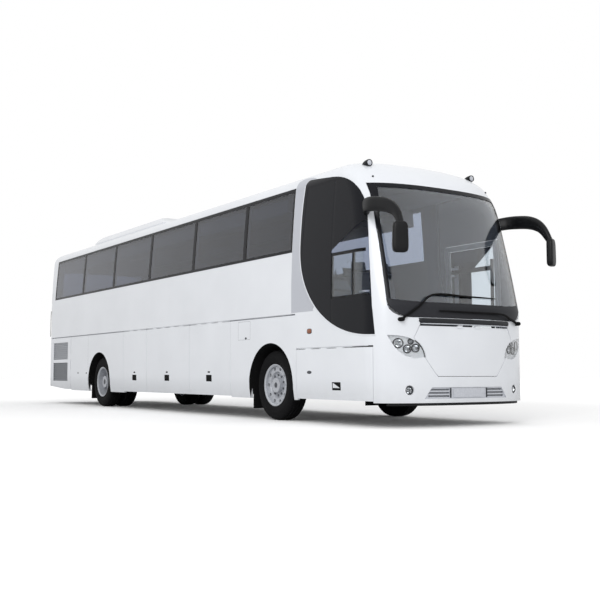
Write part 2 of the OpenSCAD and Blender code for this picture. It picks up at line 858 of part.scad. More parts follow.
// Front and rear frame rails with cross members.
rail_y = wheel_y - 660;
rail_w = 90;
front_rail_top = platform_z - deck_t;
rear_rail_top = floor_z - deck_t;
rail_h = 160;
jack_x = axle_f + 780;
jack_r = 20;
jack_h = 45;
module jack_socket() {
    translate([jack_x, rail_y, front_rail_top - rail_h - 50]) difference() {
        cylinder(r = rail_w / 2 - 3, h = 52);
        translate([0, 0, -10]) cylinder(r = jack_r, h = jack_h + 10);
    }
}
module rails(x0, x1, top) {
    block(x0, x1, rail_y - rail_w / 2, rail_y + rail_w / 2, top - rail_h, top);
}
module chassis_frame() {
    color([0.12, 0.12, 0.13]) {
        both_sides() {
            rails(bay_front + 40, x_front - 490, front_rail_top);
            rails(x_rear + 320, bay_rear - 40, rear_rail_top);
            jack_socket();
        }
        for (x = [axle_f - 900, axle_f + 900, x_front - 590])
            block(x, x + 80, -rail_y, rail_y, front_rail_top - rail_h + 20, front_rail_top - 20);
        for (x = [x_rear + 340, axle_r - 900, axle_r + 800])
            block(x, x + 80, -rail_y, rail_y, rear_rail_top - rail_h + 20, rear_rail_top - 20);
    }
}

// Beam front axle with kingpin eyes and air springs.
beam_z0 = 340;
beam_h = 110;
spring_r = 110;
eye_r = 60;
eye_h = 150;
module front_axle() {
    color([0.1, 0.1, 0.11]) {
        difference() {
            union() {
                block(axle_f - 60, axle_f + 60, -king_y + 150, king_y - 150, beam_z0, beam_z0 + beam_h);
                both_sides() translate([axle_f, king_y, wheel_z - eye_h / 2]) cylinder(r = eye_r, h = eye_h);
                both_sides() {
                    block(axle_f - 60, axle_f + 60, king_y - 220, king_y - 110, beam_z0, wheel_z + 65);
                    block(axle_f - 50, axle_f + 50, king_y - 120, king_y - 20, wheel_z - 65, wheel_z + 65);
                }
            }
            both_sides() translate([axle_f, king_y, 0]) cylinder(r = king_r + running, h = 2000);
        }
        both_sides() translate([axle_f, rail_y, beam_z0 + beam_h])
            cylinder(r = spring_r, h = front_rail_top - rail_h - beam_z0 - beam_h);
    }
}

// Steering knuckle: yoke round the beam's eye, kingpin and wheel spindle.
yoke_t = 34;
yoke_clear = 0.3;
hub_face = wheel_y - 60;
module knuckle_shape() {
    translate([axle_f, 0, 0]) {
        translate([0, king_y, wheel_z - eye_h / 2 - yoke_clear - yoke_t])
            cylinder(r = king_r, h = eye_h + 2 * (yoke_clear + yoke_t));
        for (z = [wheel_z - eye_h / 2 - yoke_clear - yoke_t, wheel_z + eye_h / 2 + yoke_clear]) {
            translate([0, king_y, z]) cylinder(r = eye_r - 8, h = yoke_t);
            block(-eye_r + 16, eye_r - 16, king_y, hub_face, z, z + yoke_t);
        }
        block(-70, 70, hub_face - 35, hub_face, wheel_z - eye_h / 2 - yoke_t, wheel_z + eye_h / 2 + yoke_t);
        translate([0, hub_face, wheel_z]) rotate([-90, 0, 0]) cylinder(r = spindle_r, h = 130);
    }
}

module knuckle_left() {
    color([0.15, 0.15, 0.16]) knuckle_shape();
}

module knuckle_right() {
    color([0.15, 0.15, 0.16]) mirror([0, 1, 0]) knuckle_shape();
}

// Live rear axle: casing, differential and spindles, with air springs to the rails.
spindle_end = wheel_y - 20;
module rear_axle() {
    color([0.1, 0.1, 0.11]) {
        translate([axle_r, 0, wheel_z]) rotate([90, 0, 0]) {
            cylinder(r = 95, h = 2 * (wheel_y - twin_pitch - 150), center = true);
            cylinder(r = hub_r, h = 2 * spindle_end, center = true);
            cylinder(r = 210, h = 240, center = true);
        }
        both_sides() translate([axle_r, rail_y, wheel_z])
            cylinder(r = 80, h = rear_rail_top - rail_h - wheel_z);
    }
}

// Tyre section and rim section, turned about y; the outer side is +y.
groove_ys = [-78, -26, 26, 78];
module tyre_shape() {
    r1 = tyre_d / 2;
    r0 = rim_d / 2 - 16;
    w = tyre_w / 2;
    rotate([-90, 0, 0]) rotate_extrude($fn = 96) difference() {
        polygon(mirror_y([[r0, w - 32], [r0 + 22, w - 18], [r0 + 70, w - 3], [r0 + 105, w], [r1 - 60, w - 8],
            [r1 - 18, w - 26], [r1 - 4, w - 48], [r1, w - 75]]));
        for (y = groove_ys) translate([r1 - 12, y - 5]) square([30, 10]);
    }
}

hand_holes = 10;
nut_count = 10;
nut_circle = 0.49;
nut_r = 17;

// Turned-out front rim and turned-in rear rims, drawn plainly as barrel, disc and hub.
module rim_ring(bore, disc_y, cone) {
    r = rim_d / 2;
    w = tyre_w / 2 - 20;
    seat = r - 16 - seat_gap;
    barrel = seat - 14;
    flat_r = 0.583 * r;
    cone_r = 0.65 * r;
    hand_in = 0.683 * r;
    difference() {
        rotate([-90, 0, 0]) rotate_extrude($fn = 96) polygon([
            [bore, disc_y - 14], [bore, disc_y + 14], [flat_r, disc_y + 14], [cone_r, disc_y + 14 + cone],
            [barrel, disc_y + 14 + cone], [barrel, w - 4], [r - 12, w + 9], [r, w + 9], [r, w + 2],
            [seat, w - 10], [seat, -w + 10], [r, -w - 2], [r, -w - 9], [r - 12, -w - 9], [barrel, -w + 4],
            [barrel, disc_y - 14 + cone], [cone_r + 8, disc_y - 14 + cone], [flat_r + 8, disc_y - 14]]);
        for (k = [0 : hand_holes - 1]) rotate([0, 360 / hand_holes * k, 0])
            translate([(hand_in + barrel) / 2, 0, 0]) rotate([90, 0, 0])
                cylinder(r = 0.4 * (barrel - hand_in), h = 3 * tyre_w, center = true);
    }
    for (k = [0 : nut_count - 1]) rotate([0, 360 / nut_count * (k + 0.5), 0])
        translate([nut_circle * r, disc_y + 13, 0]) rotate([-90, 0, 0]) cylinder(r = nut_r, h = 24, $fn = 6);
}

front_disc = 40;
module front_rim_shape() {
    rim_ring(spindle_r + running, front_disc, 34);
    translate([0, front_disc + 14, 0]) rotate([-90, 0, 0]) difference() {
        cylinder(r = 0.35 * rim_d / 2, h = 62);
        translate([0, 0, -1]) cylinder(r = spindle_r + running, h = 45);
    }
}

rear_disc = -10;
module rear_rims_shape() {
    rim_ring(hub_r + running, rear_disc, -60);
    translate([0, -twin_pitch, 0]) rim_ring(hub_r + running, rear_disc, 60);
    translate([0, rear_disc + 14, 0]) rotate([-90, 0, 0]) difference() {
        cylinder(r = 0.39 * rim_d / 2, h = 80);
        translate([0, 0, -1]) cylinder(r = hub_r + running, h = 60);
    }
}

module at_wheel(x) {
    translate([x, wheel_y, wheel_z]) children();
}

module front_tyre_left() { color([0.05, 0.05, 0.055]) at_wheel(axle_f) tyre_shape(); }
module front_tyre_right() { color([0.05, 0.05, 0.055]) mirror([0, 1, 0]) at_wheel(axle_f) tyre_shape(); }
module front_rim_left() { color("silver") at_wheel(axle_f) front_rim_shape(); }
module front_rim_right() { color("silver") mirror([0, 1, 0]) at_wheel(axle_f) front_rim_shape(); }
module rear_tyres() {
    at_wheel(axle_r) for (y = [0, -twin_pitch]) translate([0, y, 0]) tyre_shape();
}
module rear_tyres_left() { color([0.05, 0.05, 0.055]) rear_tyres(); }
module rear_tyres_right() { color([0.05, 0.05, 0.055]) mirror([0, 1, 0]) rear_tyres(); }
module rear_rims_left() { color("silver") at_wheel(axle_r) rear_rims_shape(); }
module rear_rims_right() { color("silver") mirror([0, 1, 0]) at_wheel(axle_r) rear_rims_shape(); }

// Engine and gearbox as one plain block, slung between the rear rails on two bearers.
engine_x = x_rear + 420;
engine_l = 1330;
bearer_z = rear_rail_top - rail_h;
module bearer(x) {
    block(x, x + 60, -rail_y + rail_w / 2, rail_y - rail_w / 2, bearer_z, bearer_z + 60);
}
module engine_block() {
    color([0.35, 0.36, 0.38]) {
        block(engine_x, engine_x + engine_l, -rail_y + 70, rail_y - 70, 480, bearer_z + 10);
        bearer(engine_x + 20);
        bearer(engine_x + engine_l - 90);
    }
}

// Seats: rows of pairs on the deck, and the driver's seat on the platform.
seat_x0 = axle_f + 60;
seat_reach = 395;
seat_rows = floor((seat_x0 - seat_reach - deck_x0) / seat_pitch) + 1;
seat_side = deck_half - 20;
seat_w = (seat_side - aisle_w / 2) / 2;
driver_y = -half + 345;
cushion_z = 420;
back_h = 1130;
cushion_outline = [[-130, 0], [-130, cushion_z - 110], [-205, cushion_z - 110], [-235, cushion_z],
    [-100, cushion_z], [230, cushion_z + 20], [240, cushion_z - 100], [130, cushion_z - 110], [130, 0]];
back_outline = [[-235, cushion_z], [-seat_reach, back_h - 60], [-375, back_h], [-300, back_h],
    [-270, back_h - 60], [-140, cushion_z + 40], [-100, cushion_z]];
module cushion(w, z) {
    along_y(0, w) polygon([for (p = cushion_outline) p + [0, z]]);
}
module back(w, z) {
    along_y(0, w) polygon([for (p = back_outline) p + [0, z]]);
}
module seat_places() {
    both_sides() for (k = [0 : seat_rows - 1])
        translate([seat_x0 - k * seat_pitch, seat_side - 2 * seat_w, 0]) children();
}
module driver_place() {
    translate([x_front - 1500, driver_y, 0]) children();
}
module seat_cushions() {
    color([0.2, 0.22, 0.28]) {
        seat_places() difference() {
            cushion(2 * seat_w, floor_z);
            block(-90, 250, seat_w - 8, seat_w + 8, floor_z + cushion_z - 20, floor_z + cushion_z + 30);
            for (y = [-10, seat_w + 60])
                block(-200, 200, y, y + seat_w - 50, floor_z - 10, floor_z + cushion_z - 110);
        }
        driver_place() cushion(seat_w, platform_z);
    }
}
module seat_backs() {
    color([0.2, 0.22, 0.28]) {
        seat_places() difference() {
            back(2 * seat_w, floor_z);
            block(-500, 0, seat_w - 8, seat_w + 8, floor_z + cushion_z + 60, floor_z + back_h + 10);
        }
        driver_place() back(seat_w, platform_z);
    }
}

// Dashboard across the driver's half, with its steering wheel.
wheel_rim_r = 225;
dash_x = x_front - 910;
dash_back = 510;
dash_top = platform_z + 550;
module dashboard() {
    color([0.1, 0.1, 0.11]) {
        translate([dash_x, 0, 0]) along_y(-half + 295, door_step_y - 220) polygon([
            [0, platform_z], [0, dash_top - 220], [-60, dash_top - 110], [-20, dash_top - 30],
            [160, dash_top], [dash_back, dash_top - 90], [dash_back, platform_z + 120],
            [dash_back - 110, platform_z]]);
        translate([dash_x - 30, driver_y + seat_w / 2, dash_top - 70]) rotate([0, -35, 0]) {
            cylinder(r = 32, h = 190);
            translate([0, 0, 170]) cylinder(r = 70, h = 24);
            translate([0, 0, 180]) rotate_extrude() translate([wheel_rim_r, 0]) circle(15);
            for (a = [30, 150, 270]) rotate([0, 0, a]) block(40, wheel_rim_r, -16, 16, 174, 188);
        }
    }
}

// Parcel racks along both sides.
rack_x1 = axle_f + 300;
module luggage_racks() {
    color([0.7, 0.7, 0.72]) both_sides() along_x(tail_x + 500, rack_x1) polygon([
        [half_w(rack_z, wall) - seat_gap, rack_z], [half_w(edge_z, wall) - seat_gap, edge_z],
        [half - 265, edge_z + 15], [half - 515, edge_z - 90], [half - 535, edge_z - 190],
        [half - 475, edge_z - 230]]);
}

// Mirror: deep flat arm from the pillar to a hanging head, which is turned towards the driver.
glass_head_h = 370;
glass_head_w = 190;
glass_head_d = 90;
head_r = 35;
head_turn = 25;
glass_head_x = x_front + mirror_reach - head_r - (glass_head_w / 2 - head_r) * sin(head_turn)
    - (glass_head_d / 2 - head_r) * cos(head_turn);
glass_head_y = half + 18;
glass_head_z = roof_z - 1231;
arm_path = [for (p = [[-590, -110, -760], [-490, -30, -745], [-350, 10, -750], [-150, 0, -780],
    [10, -10, -835], [130, -13, -925]]) [x_front, half, roof_z] + p];
arm_foot = [glass_head_x, glass_head_y - 15, glass_head_z + glass_head_h / 2 - 40];
arm_stations = concat(arm_path, [arm_foot]);
// Half width and half height of the arm at each station.
arm_sizes = [[45, 88], [45, 90], [45, 92], [44, 90], [42, 80], [40, 62], [36, 40]];
module arm_station(k) {
    translate(arm_stations[k]) tall_ball(arm_sizes[k][0], arm_sizes[k][1]);
}
module tall_ball(w, h) {
    for (z = [-1, 1]) translate([0, 0, z * (h - w)]) sphere(r = w, $fn = 16);
}
module mirror_shape() {
    difference() {
        union() {
            for (k = [0 : len(arm_stations) - 2]) hull() {
                arm_station(k);
                arm_station(k + 1);
            }
            translate([glass_head_x, glass_head_y, glass_head_z]) rotate([0, 0, head_turn])
                hull() for (x = [-1, 1], y = [-1, 1], z = [-1, 1])
                    translate([x * (glass_head_d / 2 - head_r), y * (glass_head_w / 2 - head_r),
                        z * (glass_head_h / 2 - head_r)]) sphere(r = head_r, $fn = 16);
        }
        nose_block(-seat_gap, pillar_x, lean_z(0.4), lean_z(0.78));
        translate([glass_head_x, glass_head_y, glass_head_z]) rotate([0, 0, head_turn])
            block(-glass_head_d / 2 - 1, -glass_head_d / 2 + 10,
                -glass_head_w / 2 + 18, glass_head_w / 2 - 18,
                -glass_head_h / 2 + 18, glass_head_h / 2 - 18);
    }
}

module mirror_left() { color([0.06, 0.065, 0.07]) mirror_shape(); }
module mirror_right() { color([0.06, 0.065, 0.07]) mirror([0, 1, 0]) mirror_shape(); }

// Wiper: pivot, arm and blade; both lie over the foot of the screen.
wiper_lift = 45;
function on_screen(y, z, o) = [nose_x(y, z, 0) + o, y, z];
wiper_foot = screen_low - 25;
wiper_right = [on_screen(275 - half, wiper_foot, 30), on_screen(715 - half, screen_low + 290, wiper_lift),
    on_screen(half - 775, screen_low + 282, wiper_lift)];
wiper_left = [on_screen(half - 290, wiper_foot, 30), on_screen(half - 715, screen_low + 80, wiper_lift),
    on_screen(795 - half, screen_low + 90, wiper_lift)];
module bar(a, b, r) {
    hull() {
        translate(a) sphere(r = r, $fn = 12);
        translate(b) sphere(r = r, $fn = 12);
    }
}
module wiper_shape(p) {
    mid = (p[1] + p[2]) / 2;
    step = (p[2][1] - p[1][1]) / 4;
    bar(p[0], p[1], 13);
    bar(p[1], on_screen(mid[1], mid[2], wiper_lift), 11);
    for (k = [0 : 3])
        bar(on_screen(p[1][1] + k * step, p[1][2], 22), on_screen(p[1][1] + (k + 1) * step, p[1][2], 22), 12);
    translate(p[0]) rotate([0, 90, 0]) cylinder(r = 26, h = 90, center = true);
}
module wipers() {
    color([0.04, 0.04, 0.045]) difference() {
        union() {
            wiper_shape(wiper_right);
            wiper_shape(wiper_left);
        }
        nose_block(-seat_gap, seam_x - 400, screen_low - 350, screen_low + 650);
    }
}

// Roof unit with sloped ends, two hatches, and the lamps on roof and sides.
unit_x0 = axle_r - 1650;
unit_x1 = axle_r + 1950;
unit_half = half - 475;
unit_h = 220;
hatch_xs = [unit_x1 + 0.33 * (axle_f - unit_x1), axle_f - 400];
module unit_side() {
    top = roof_z + unit_h;
    polygon([[unit_x0, edge_z + 100], [unit_x0 + 80, top - 80], [unit_x0 + 260, top - 40],
        [unit_x1 - 900, top], [unit_x1 - 350, top - 10], [unit_x1, roof_z + 60], [unit_x1, edge_z + 100]]);
}
module unit_end() {
    polygon(mirrored([[unit_half, edge_z + 100], [unit_half - 10, roof_z + 60],
        [unit_half - 120, roof_z + unit_h - 40], [unit_half - 320, roof_z + unit_h]]));
}
module roof_unit() {
    color("white") difference() {
        union() {
            intersection() {
                along_y(-unit_half, unit_half) unit_side();
                along_x(unit_x0, unit_x1) unit_end();
            }
            for (x = hatch_xs) block(x - 330, x + 330, -360, 360, edge_z + 100, roof_z + 45);
        }
        along_x(tail_x - 100, cheek_x + 140) polygon(mirrored(concat([[half + 50, edge_z - 200]],
            [for (z = levels(wall_high, crown(0), 0)) [half_w(z, 0) + 2, z + seat_gap]])));
    }
}

roof_lamp_y = half - 368;
roof_lamp_x = x_front - 893;
marker_z = 1232;
marker_t = 14;
module side_marker(x) {
    translate([x, half + seat_gap, marker_z]) block(-55, 55, 0, marker_t - seat_gap, -32, 32);
}
module marker_lamps() {
    color("orange") both_sides() {
        difference() {
            translate([roof_lamp_x, roof_lamp_y, roof_z - 140]) cylinder(r1 = 75, r2 = 45, h = 95);
            nose_block(-seat_gap, pillar_x, edge_z, crown(0));
        }
    }
    color("orange") {
        mirror([0, 1, 0]) side_marker(cheek_x + 350);
        side_marker((cheek_x + door_x0 - gap) / 2);
    }
}

// Luggage flap number k on the left side.
flap_latch_z = skirt_z + 287;
service_latch_z = skirt_z + 197;
module flap_shape(k) {
    x0 = flap_xs[k] + gap / 2;
    x1 = flap_xs[k + 1] - gap / 2;
    mid = (x0 + x1) / 2;
    difference() {
        wall_strip(0, flap_t, flap_low, flap_high, x0, x1);
        latch_pocket(mid, half, flap_latch_z);
    }
    latch_paddle(mid, half, flap_latch_z);
    translate([0, half - barrel_r, waist_z]) hinge_moving(x0, x1, groove + 10);
}

module luggage_flap_left(k) { color("white") flap_shape(k); }
module luggage_flap_right(k) { color("white") mirror([0, 1, 0]) flap_shape(k); }

module service_flap() {
    mid = (service_x0 + service_x1) / 2 + 100;
    color("white") mirror([0, 1, 0]) {
        difference() {
            intersection() {
                tucked_ring(flap_t, service_x0 - 50, flap_low, service_z + 20);
                block(service_x0, service_x1, 0, half + 10, flap_low, service_z);
            }
            latch_pocket(mid, half, service_latch_z);
        }
        latch_paddle(mid, half, service_latch_z);
        translate([0, half - barrel_r, service_z + groove])
            hinge_moving(service_x0, service_x0 + service_hinge_l, groove + 10);
    }
}

// Entrance door: arms on an upright post, and the leaf they carry.
leaf_pin = [post_x - door_arm, post_y];
module door_arms() {
    color([0.15, 0.15, 0.16]) {
        translate([post_x, post_y, step_z + seat_gap]) cylinder(r = post_r, h = arm_zs[1] + 120 - step_z);
        for (z = arm_zs) {
            block(leaf_pin[0], post_x, post_y - 20, post_y + 20, z - 30, z + 30);
            translate([leaf_pin[0], leaf_pin[1], z - 30]) cylinder(r = 28, h = 60);
            translate([leaf_pin[0], leaf_pin[1], z - 70]) cylinder(r = arm_pin_r, h = 140);
        }
    }
}

leaf_frame = 70;
module door_leaf() {
    color("white") difference() {
        union() {
            difference() {
                intersection() {
                    nose_shell(0, wall, door_x0 - 100, door_low, door_top + 40);
                    block(door_x0, door_x1, 0, half + 10, door_low, door_top - gap);
                }
                difference() {
                    quarter_window(0, half - 400, half + 50);
                    difference() {
                        block(door_x0 - 10, door_x1 + 10, 0, half + 20, door_low, door_top);
                        block(door_x0 + leaf_frame, door_x1 - leaf_frame, 0, half + 30,
                            door_low - 10, door_top - gap - leaf_frame);
                    }
                }
            }
            for (z = arm_zs) for (e = [-1, 1])
                translate([leaf_pin[0], leaf_pin[1], z + e * 50 - 18]) {
                    cylinder(r = 26, h = 36);
                    block(-26, 26, 0, half - wall - post_y + 2, 0, 36);
                }
            block(leaf_pin[0] - 40, leaf_pin[0] + 40, half - wall - 12, half - wall + 2,
                arm_zs[0] - 100, arm_zs[1] + 100);
        }
        for (z = arm_zs) translate([leaf_pin[0], leaf_pin[1], z - 100])
            cylinder(r = arm_pin_r + seat_gap, h = 200);
    }
}

module door_glass() {
    color([0.16, 0.17, 0.19]) intersection() {
        nose_shell(glass_t0, glass_t1, door_x0 - 100, quarter_low - 40, door_top + 40);
        quarter_window(seat_gap, half - 600, half + 50);
        block(door_x0 + leaf_frame + seat_gap, door_x1 - leaf_frame - seat_gap, 0, half + 10,
            door_low, door_top - gap - leaf_frame - seat_gap);
    }
}

roof_panel();
side_wall_right();
side_wall_left();
skirt_right();
skirt_left();
tail_panel();
windscreen_frame();
front_mask();
arc_pillars();
windscreen();
side_glass_right();
side_glass_left();
driver_glass();
door_quarter_glass();
tail_glass();
floor_deck();
luggage_floor();
wheel_housings();
chassis_frame();
front_axle();
rear_axle();
engine_block();
seat_cushions();
seat_backs();
dashboard();
luggage_racks();
headlamps();
lamp_lenses();
marker_lamps();
tail_lamps();
front_grille();
scuttle_strip();
wipers();
mirror_right();
mirror_left();
roof_unit();
knuckle_right();
knuckle_left();
front_tyre_right();
front_tyre_left();
front_rim_right();
front_rim_left();
rear_tyres_right();
rear_tyres_left();
rear_rims_right();
rear_rims_left();
luggage_flap_right(0);  // luggage_flap_right_1
luggage_flap_right(1);  // luggage_flap_right_2
luggage_flap_right(2);  // luggage_flap_right_3
luggage_flap_left(0);  // luggage_flap_left_1
luggage_flap_left(1);  // luggage_flap_left_2
luggage_flap_left(2);  // luggage_flap_left_3
service_flap();
radiator_door();
engine_lid();
front_hatch();
door_arms();
door_leaf();
door_glass();
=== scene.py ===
import json
import math
import bmesh
import bpy
import numpy as np
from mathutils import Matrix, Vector


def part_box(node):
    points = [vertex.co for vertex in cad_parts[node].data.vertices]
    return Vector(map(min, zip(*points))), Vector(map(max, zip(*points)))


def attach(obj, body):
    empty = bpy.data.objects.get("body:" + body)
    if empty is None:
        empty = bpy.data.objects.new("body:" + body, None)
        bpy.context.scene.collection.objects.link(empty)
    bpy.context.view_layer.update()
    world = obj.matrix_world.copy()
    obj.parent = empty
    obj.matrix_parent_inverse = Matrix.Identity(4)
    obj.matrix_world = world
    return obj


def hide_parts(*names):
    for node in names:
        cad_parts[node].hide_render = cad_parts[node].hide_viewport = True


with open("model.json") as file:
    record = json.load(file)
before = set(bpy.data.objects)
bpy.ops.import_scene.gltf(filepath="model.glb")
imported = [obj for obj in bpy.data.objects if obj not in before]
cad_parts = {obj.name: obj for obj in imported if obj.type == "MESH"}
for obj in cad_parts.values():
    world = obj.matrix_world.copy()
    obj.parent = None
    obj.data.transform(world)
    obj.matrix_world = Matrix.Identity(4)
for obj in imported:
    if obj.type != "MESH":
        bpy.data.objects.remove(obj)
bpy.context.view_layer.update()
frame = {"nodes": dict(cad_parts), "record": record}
nodes = frame["nodes"]
bodyOf = {n: b for b, names in frame["record"]["behaviour"]["bodies"].items() for n in names}
print("frame loaded:", len(nodes), "nodes")

# Places along the coach, read from the frame, in metres.
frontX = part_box("front_mask")[1].x
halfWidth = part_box("side_wall_left")[1].y
frontTyre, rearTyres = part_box("front_tyre_left"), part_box("rear_tyres_left")
axleX = (frontTyre[0].x + frontTyre[1].x) / 2
rearX = (rearTyres[0].x + rearTyres[1].x) / 2
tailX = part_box("tail_panel")[0].x
bothSides = (("right", -1), ("left", 1))

# The outer skin's formula: half width by height, nose by height, round corner between them.
skin = dict(
    tuck=0.030, tuckZ=0.600, skirtZ=0.305,    # lower edge pulled in
    lean=0.080, beltZ=1.900, edgeZ=3.200,     # sides lean in above the belt
    roofZ=3.500, roofPower=6,                 # crowned roof
    noseDepth=0.524, nosePower=2.5,           # plan of the front
    rake=math.radians(13), rakeZ=1.500, browR=0.900,
)


def halfAt(z, t=0.0):
    # half width: parabola under the tuck, straight, power curve of the lean, superellipse of the roof
    s = skin
    z = np.asarray(z, float)
    under = np.clip(s["tuckZ"] - z, 0, None) / (s["tuckZ"] - s["skirtZ"])
    above = np.clip(z - s["beltZ"], 0, None) / (s["edgeZ"] - s["beltZ"])
    low = halfWidth - t - s["tuck"] * under ** 2
    mid = halfWidth - t - s["lean"] * above ** 1.5
    v = np.clip((z - s["edgeZ"]) / (s["roofZ"] - t - s["edgeZ"]), 0, 0.9995)
    top = (halfWidth - s["lean"] - t) * (1 - v ** 2) ** (1 / s["roofPower"])
    return np.where(z <= s["tuckZ"], low, np.where(z <= s["edgeZ"], mid, top))


def apexAt(z, t=0.0):
    # foremost x: upright, then straight back at the rake, then the brow's arc
    s = skin
    z = np.asarray(z, float)
    browZ = s["roofZ"] - s["browR"]
    browLow = browZ + s["browR"] * math.sin(s["rake"])
    browX = frontX - math.tan(s["rake"]) * (browLow - s["rakeZ"]) - s["browR"] * math.cos(s["rake"])
    straight = frontX - t - math.tan(s["rake"]) * np.clip(z - s["rakeZ"], 0, None)
    arc = browX + np.sqrt(np.clip((s["browR"] - t) ** 2 - (z - browZ) ** 2, 1e-6, None))
    return np.where(z <= browLow, straight, arc)


def depthAt(z, t=0.0):
    # how far the nose curves back, less where the body narrows
    return skin["noseDepth"] * np.minimum(1, halfAt(z, t) / (halfWidth - skin["lean"] - t))


def noseX(y, z, t=0.0):
    # x of the nose at (y, z): superellipse in plan
    n = skin["nosePower"]
    v = np.clip(np.abs(y) / halfAt(z, t), 0, 1)
    return apexAt(z, t) - depthAt(z, t) * (1 - np.clip(1 - v ** n, 0, None) ** (1 / n))


def sideY(x, z, t=0.0):
    # y of the skin at (x, z): the same superellipse solved the other way
    n = skin["nosePower"]
    v = np.clip(1 - (apexAt(z, t) - x) / depthAt(z, t), 0, 1)
    return halfAt(z, t) * np.clip(1 - v ** n, 0, None) ** (1 / n)


def skinLevel(p):
    # implicit skin: (y / half)^n + (nose run / depth)^n, 1 on the surface
    n = skin["nosePower"]
    h = halfAt(p[:, 2])
    d = depthAt(p[:, 2])
    run = np.clip(1 - (apexAt(p[:, 2]) - p[:, 0]) / d, 0, None)
    return (np.abs(p[:, 1]) / h) ** n + run ** n


def skinNormal(p):
    # gradient of the implicit skin by central differences
    step = 5e-4
    g = np.stack([skinLevel(p + e) - skinLevel(p - e) for e in np.eye(3) * step], axis=1)
    return g / np.linalg.norm(g, axis=1, keepdims=True).clip(1e-9)


# Materials

def linear(hexText):
    # sRGB hex to linear: the standard curve with its straight foot
    c = np.array([int(hexText[i:i + 2], 16) / 255 for i in (1, 3, 5)])
    c = np.where(c <= 0.04045, c / 12.92, ((c + 0.055) / 1.055) ** 2.4)
    return (*c.tolist(), 1.0)


def add(tree, kind, inputs=None, **settings):
    # one node with its settings; an input that is a socket is linked, any other is a value
    node = tree.nodes.new("ShaderNode" + kind)
    for key, value in settings.items():
        setattr(node, key, value)
    for key, value in (inputs or {}).items():
        if isinstance(value, bpy.types.NodeSocket):
            tree.links.new(value, node.inputs[key])
        else:
            node.inputs[key].default_value = value
    return node


def newMaterial(name):
    # one principled shader, with the object's own coordinates for its patterns
    material = bpy.data.materials.new(name)
    material.use_nodes = True
    tree = material.node_tree
    tree.nodes.clear()
    out = add(tree, "OutputMaterial")
    shader = add(tree, "BsdfPrincipled")
    tree.links.new(shader.outputs[0], out.inputs[0])
    place = add(tree, "TexCoord").outputs["Object"]
    return material, tree, shader, place


def ramp(tree, factor, stops):
    # colour by factor, through the given stops
    node = add(tree, "ValToRGB", {"Fac": factor})
    while len(node.color_ramp.elements) < len(stops):
        node.color_ramp.elements.new(0.5)
    for element, (at, colour) in zip(node.color_ramp.elements, stops):
        element.position = at
        element.color = colour
    return node.outputs["Color"]


def mm(size):
    return 1000.0 / size    # texture scale for a pattern of this many millimetres, on metre coordinates


def coachEnamel():
    # two-pack white enamel, sprayed: soft gloss, faint panel waves, road dust low down
    material, tree, shader, place = newMaterial("coachEnamel")
    tone = add(tree, "TexNoise", {"Vector": place, "Scale": mm(900), "Detail": 3.0})
    clean = ramp(tree, tone.outputs[0], [(0.3, linear("#dcdfe4")), (0.7, linear("#e2e5ea"))])
    height = add(tree, "SeparateXYZ", {"Vector": place}).outputs["Z"]
    grime = add(tree, "TexNoise", {"Vector": place, "Scale": mm(120), "Detail": 6.0, "Roughness": 0.7})
    limits = {"Value": height, "From Min": 0.30, "From Max": 0.60, "To Min": 0.30, "To Max": 0.0}
    low = add(tree, "MapRange", limits)
    dust = add(tree, "Math", {0: low.outputs[0], 1: grime.outputs[0]}, operation="MULTIPLY")
    colour = add(tree, "Mix", {0: dust.outputs[0], 6: clean, 7: linear("#a9a9a8")}, data_type="RGBA")
    tree.links.new(colour.outputs[2], shader.inputs["Base Color"])
    rough = add(tree, "MapRange", {"Value": grime.outputs[0], "To Min": 0.26, "To Max": 0.40})
    tree.links.new(rough.outputs[0], shader.inputs["Roughness"])
    wave = add(tree, "TexNoise", {"Vector": place, "Scale": mm(650), "Detail": 1.0})
    bump = add(tree, "Bump", {"Height": wave.outputs[0], "Strength": 0.05, "Distance": 0.02})
    tree.links.new(bump.outputs[0], shader.inputs["Normal"])
    shader.inputs["Coat Weight"].default_value = 0.35
    shader.inputs["Coat Roughness"].default_value = 0.12
    return material


def plainCoat(name, hexA, hexB, grain, rough, metallic=0.0, bumpDepth=0.0, coat=0.0, gloss=0.5):
    # a pigmented coat with a little tone from hexA to hexB over grain millimetres
    material, tree, shader, place = newMaterial(name)
    tone = add(tree, "TexNoise", {"Vector": place, "Scale": mm(grain), "Detail": 5.0, "Roughness": 0.6})
    colour = ramp(tree, tone.outputs[0], [(0.35, linear(hexA)), (0.65, linear(hexB))])
    tree.links.new(colour, shader.inputs["Base Color"])
    limits = {"Value": tone.outputs[0], "To Min": rough * 0.85, "To Max": min(1.0, rough * 1.15)}
    tree.links.new(add(tree, "MapRange", limits).outputs[0], shader.inputs["Roughness"])
    shader.inputs["Metallic"].default_value = metallic
    shader.inputs["Coat Weight"].default_value = coat
    shader.inputs["Specular IOR Level"].default_value = gloss
    if bumpDepth:
        bump = add(tree, "Bump", {"Height": tone.outputs[0], "Strength": 0.5, "Distance": bumpDepth})
        tree.links.new(bump.outputs[0], shader.inputs["Normal"])
    return material


def tintedGlass(name, hexTint, rough=0.02, ior=1.5):
    # toughened glass with a grey body tint: dark by depth, bright only by what it mirrors
    material, tree, shader, place = newMaterial(name)
    tone = add(tree, "TexNoise", {"Vector": place, "Scale": mm(1400), "Detail": 2.0})
    base = linear(hexTint)
    paler = tuple(min(1.0, c * 1.12) for c in base[:3]) + (1.0,)
    tree.links.new(ramp(tree, tone.outputs[0], [(0.3, base), (0.7, paler)]), shader.inputs["Base Color"])
    shader.inputs["Roughness"].default_value = rough
    shader.inputs["Transmission Weight"].default_value = 1.0
    shader.inputs["IOR"].default_value = ior
    return material


enamel = coachEnamel()
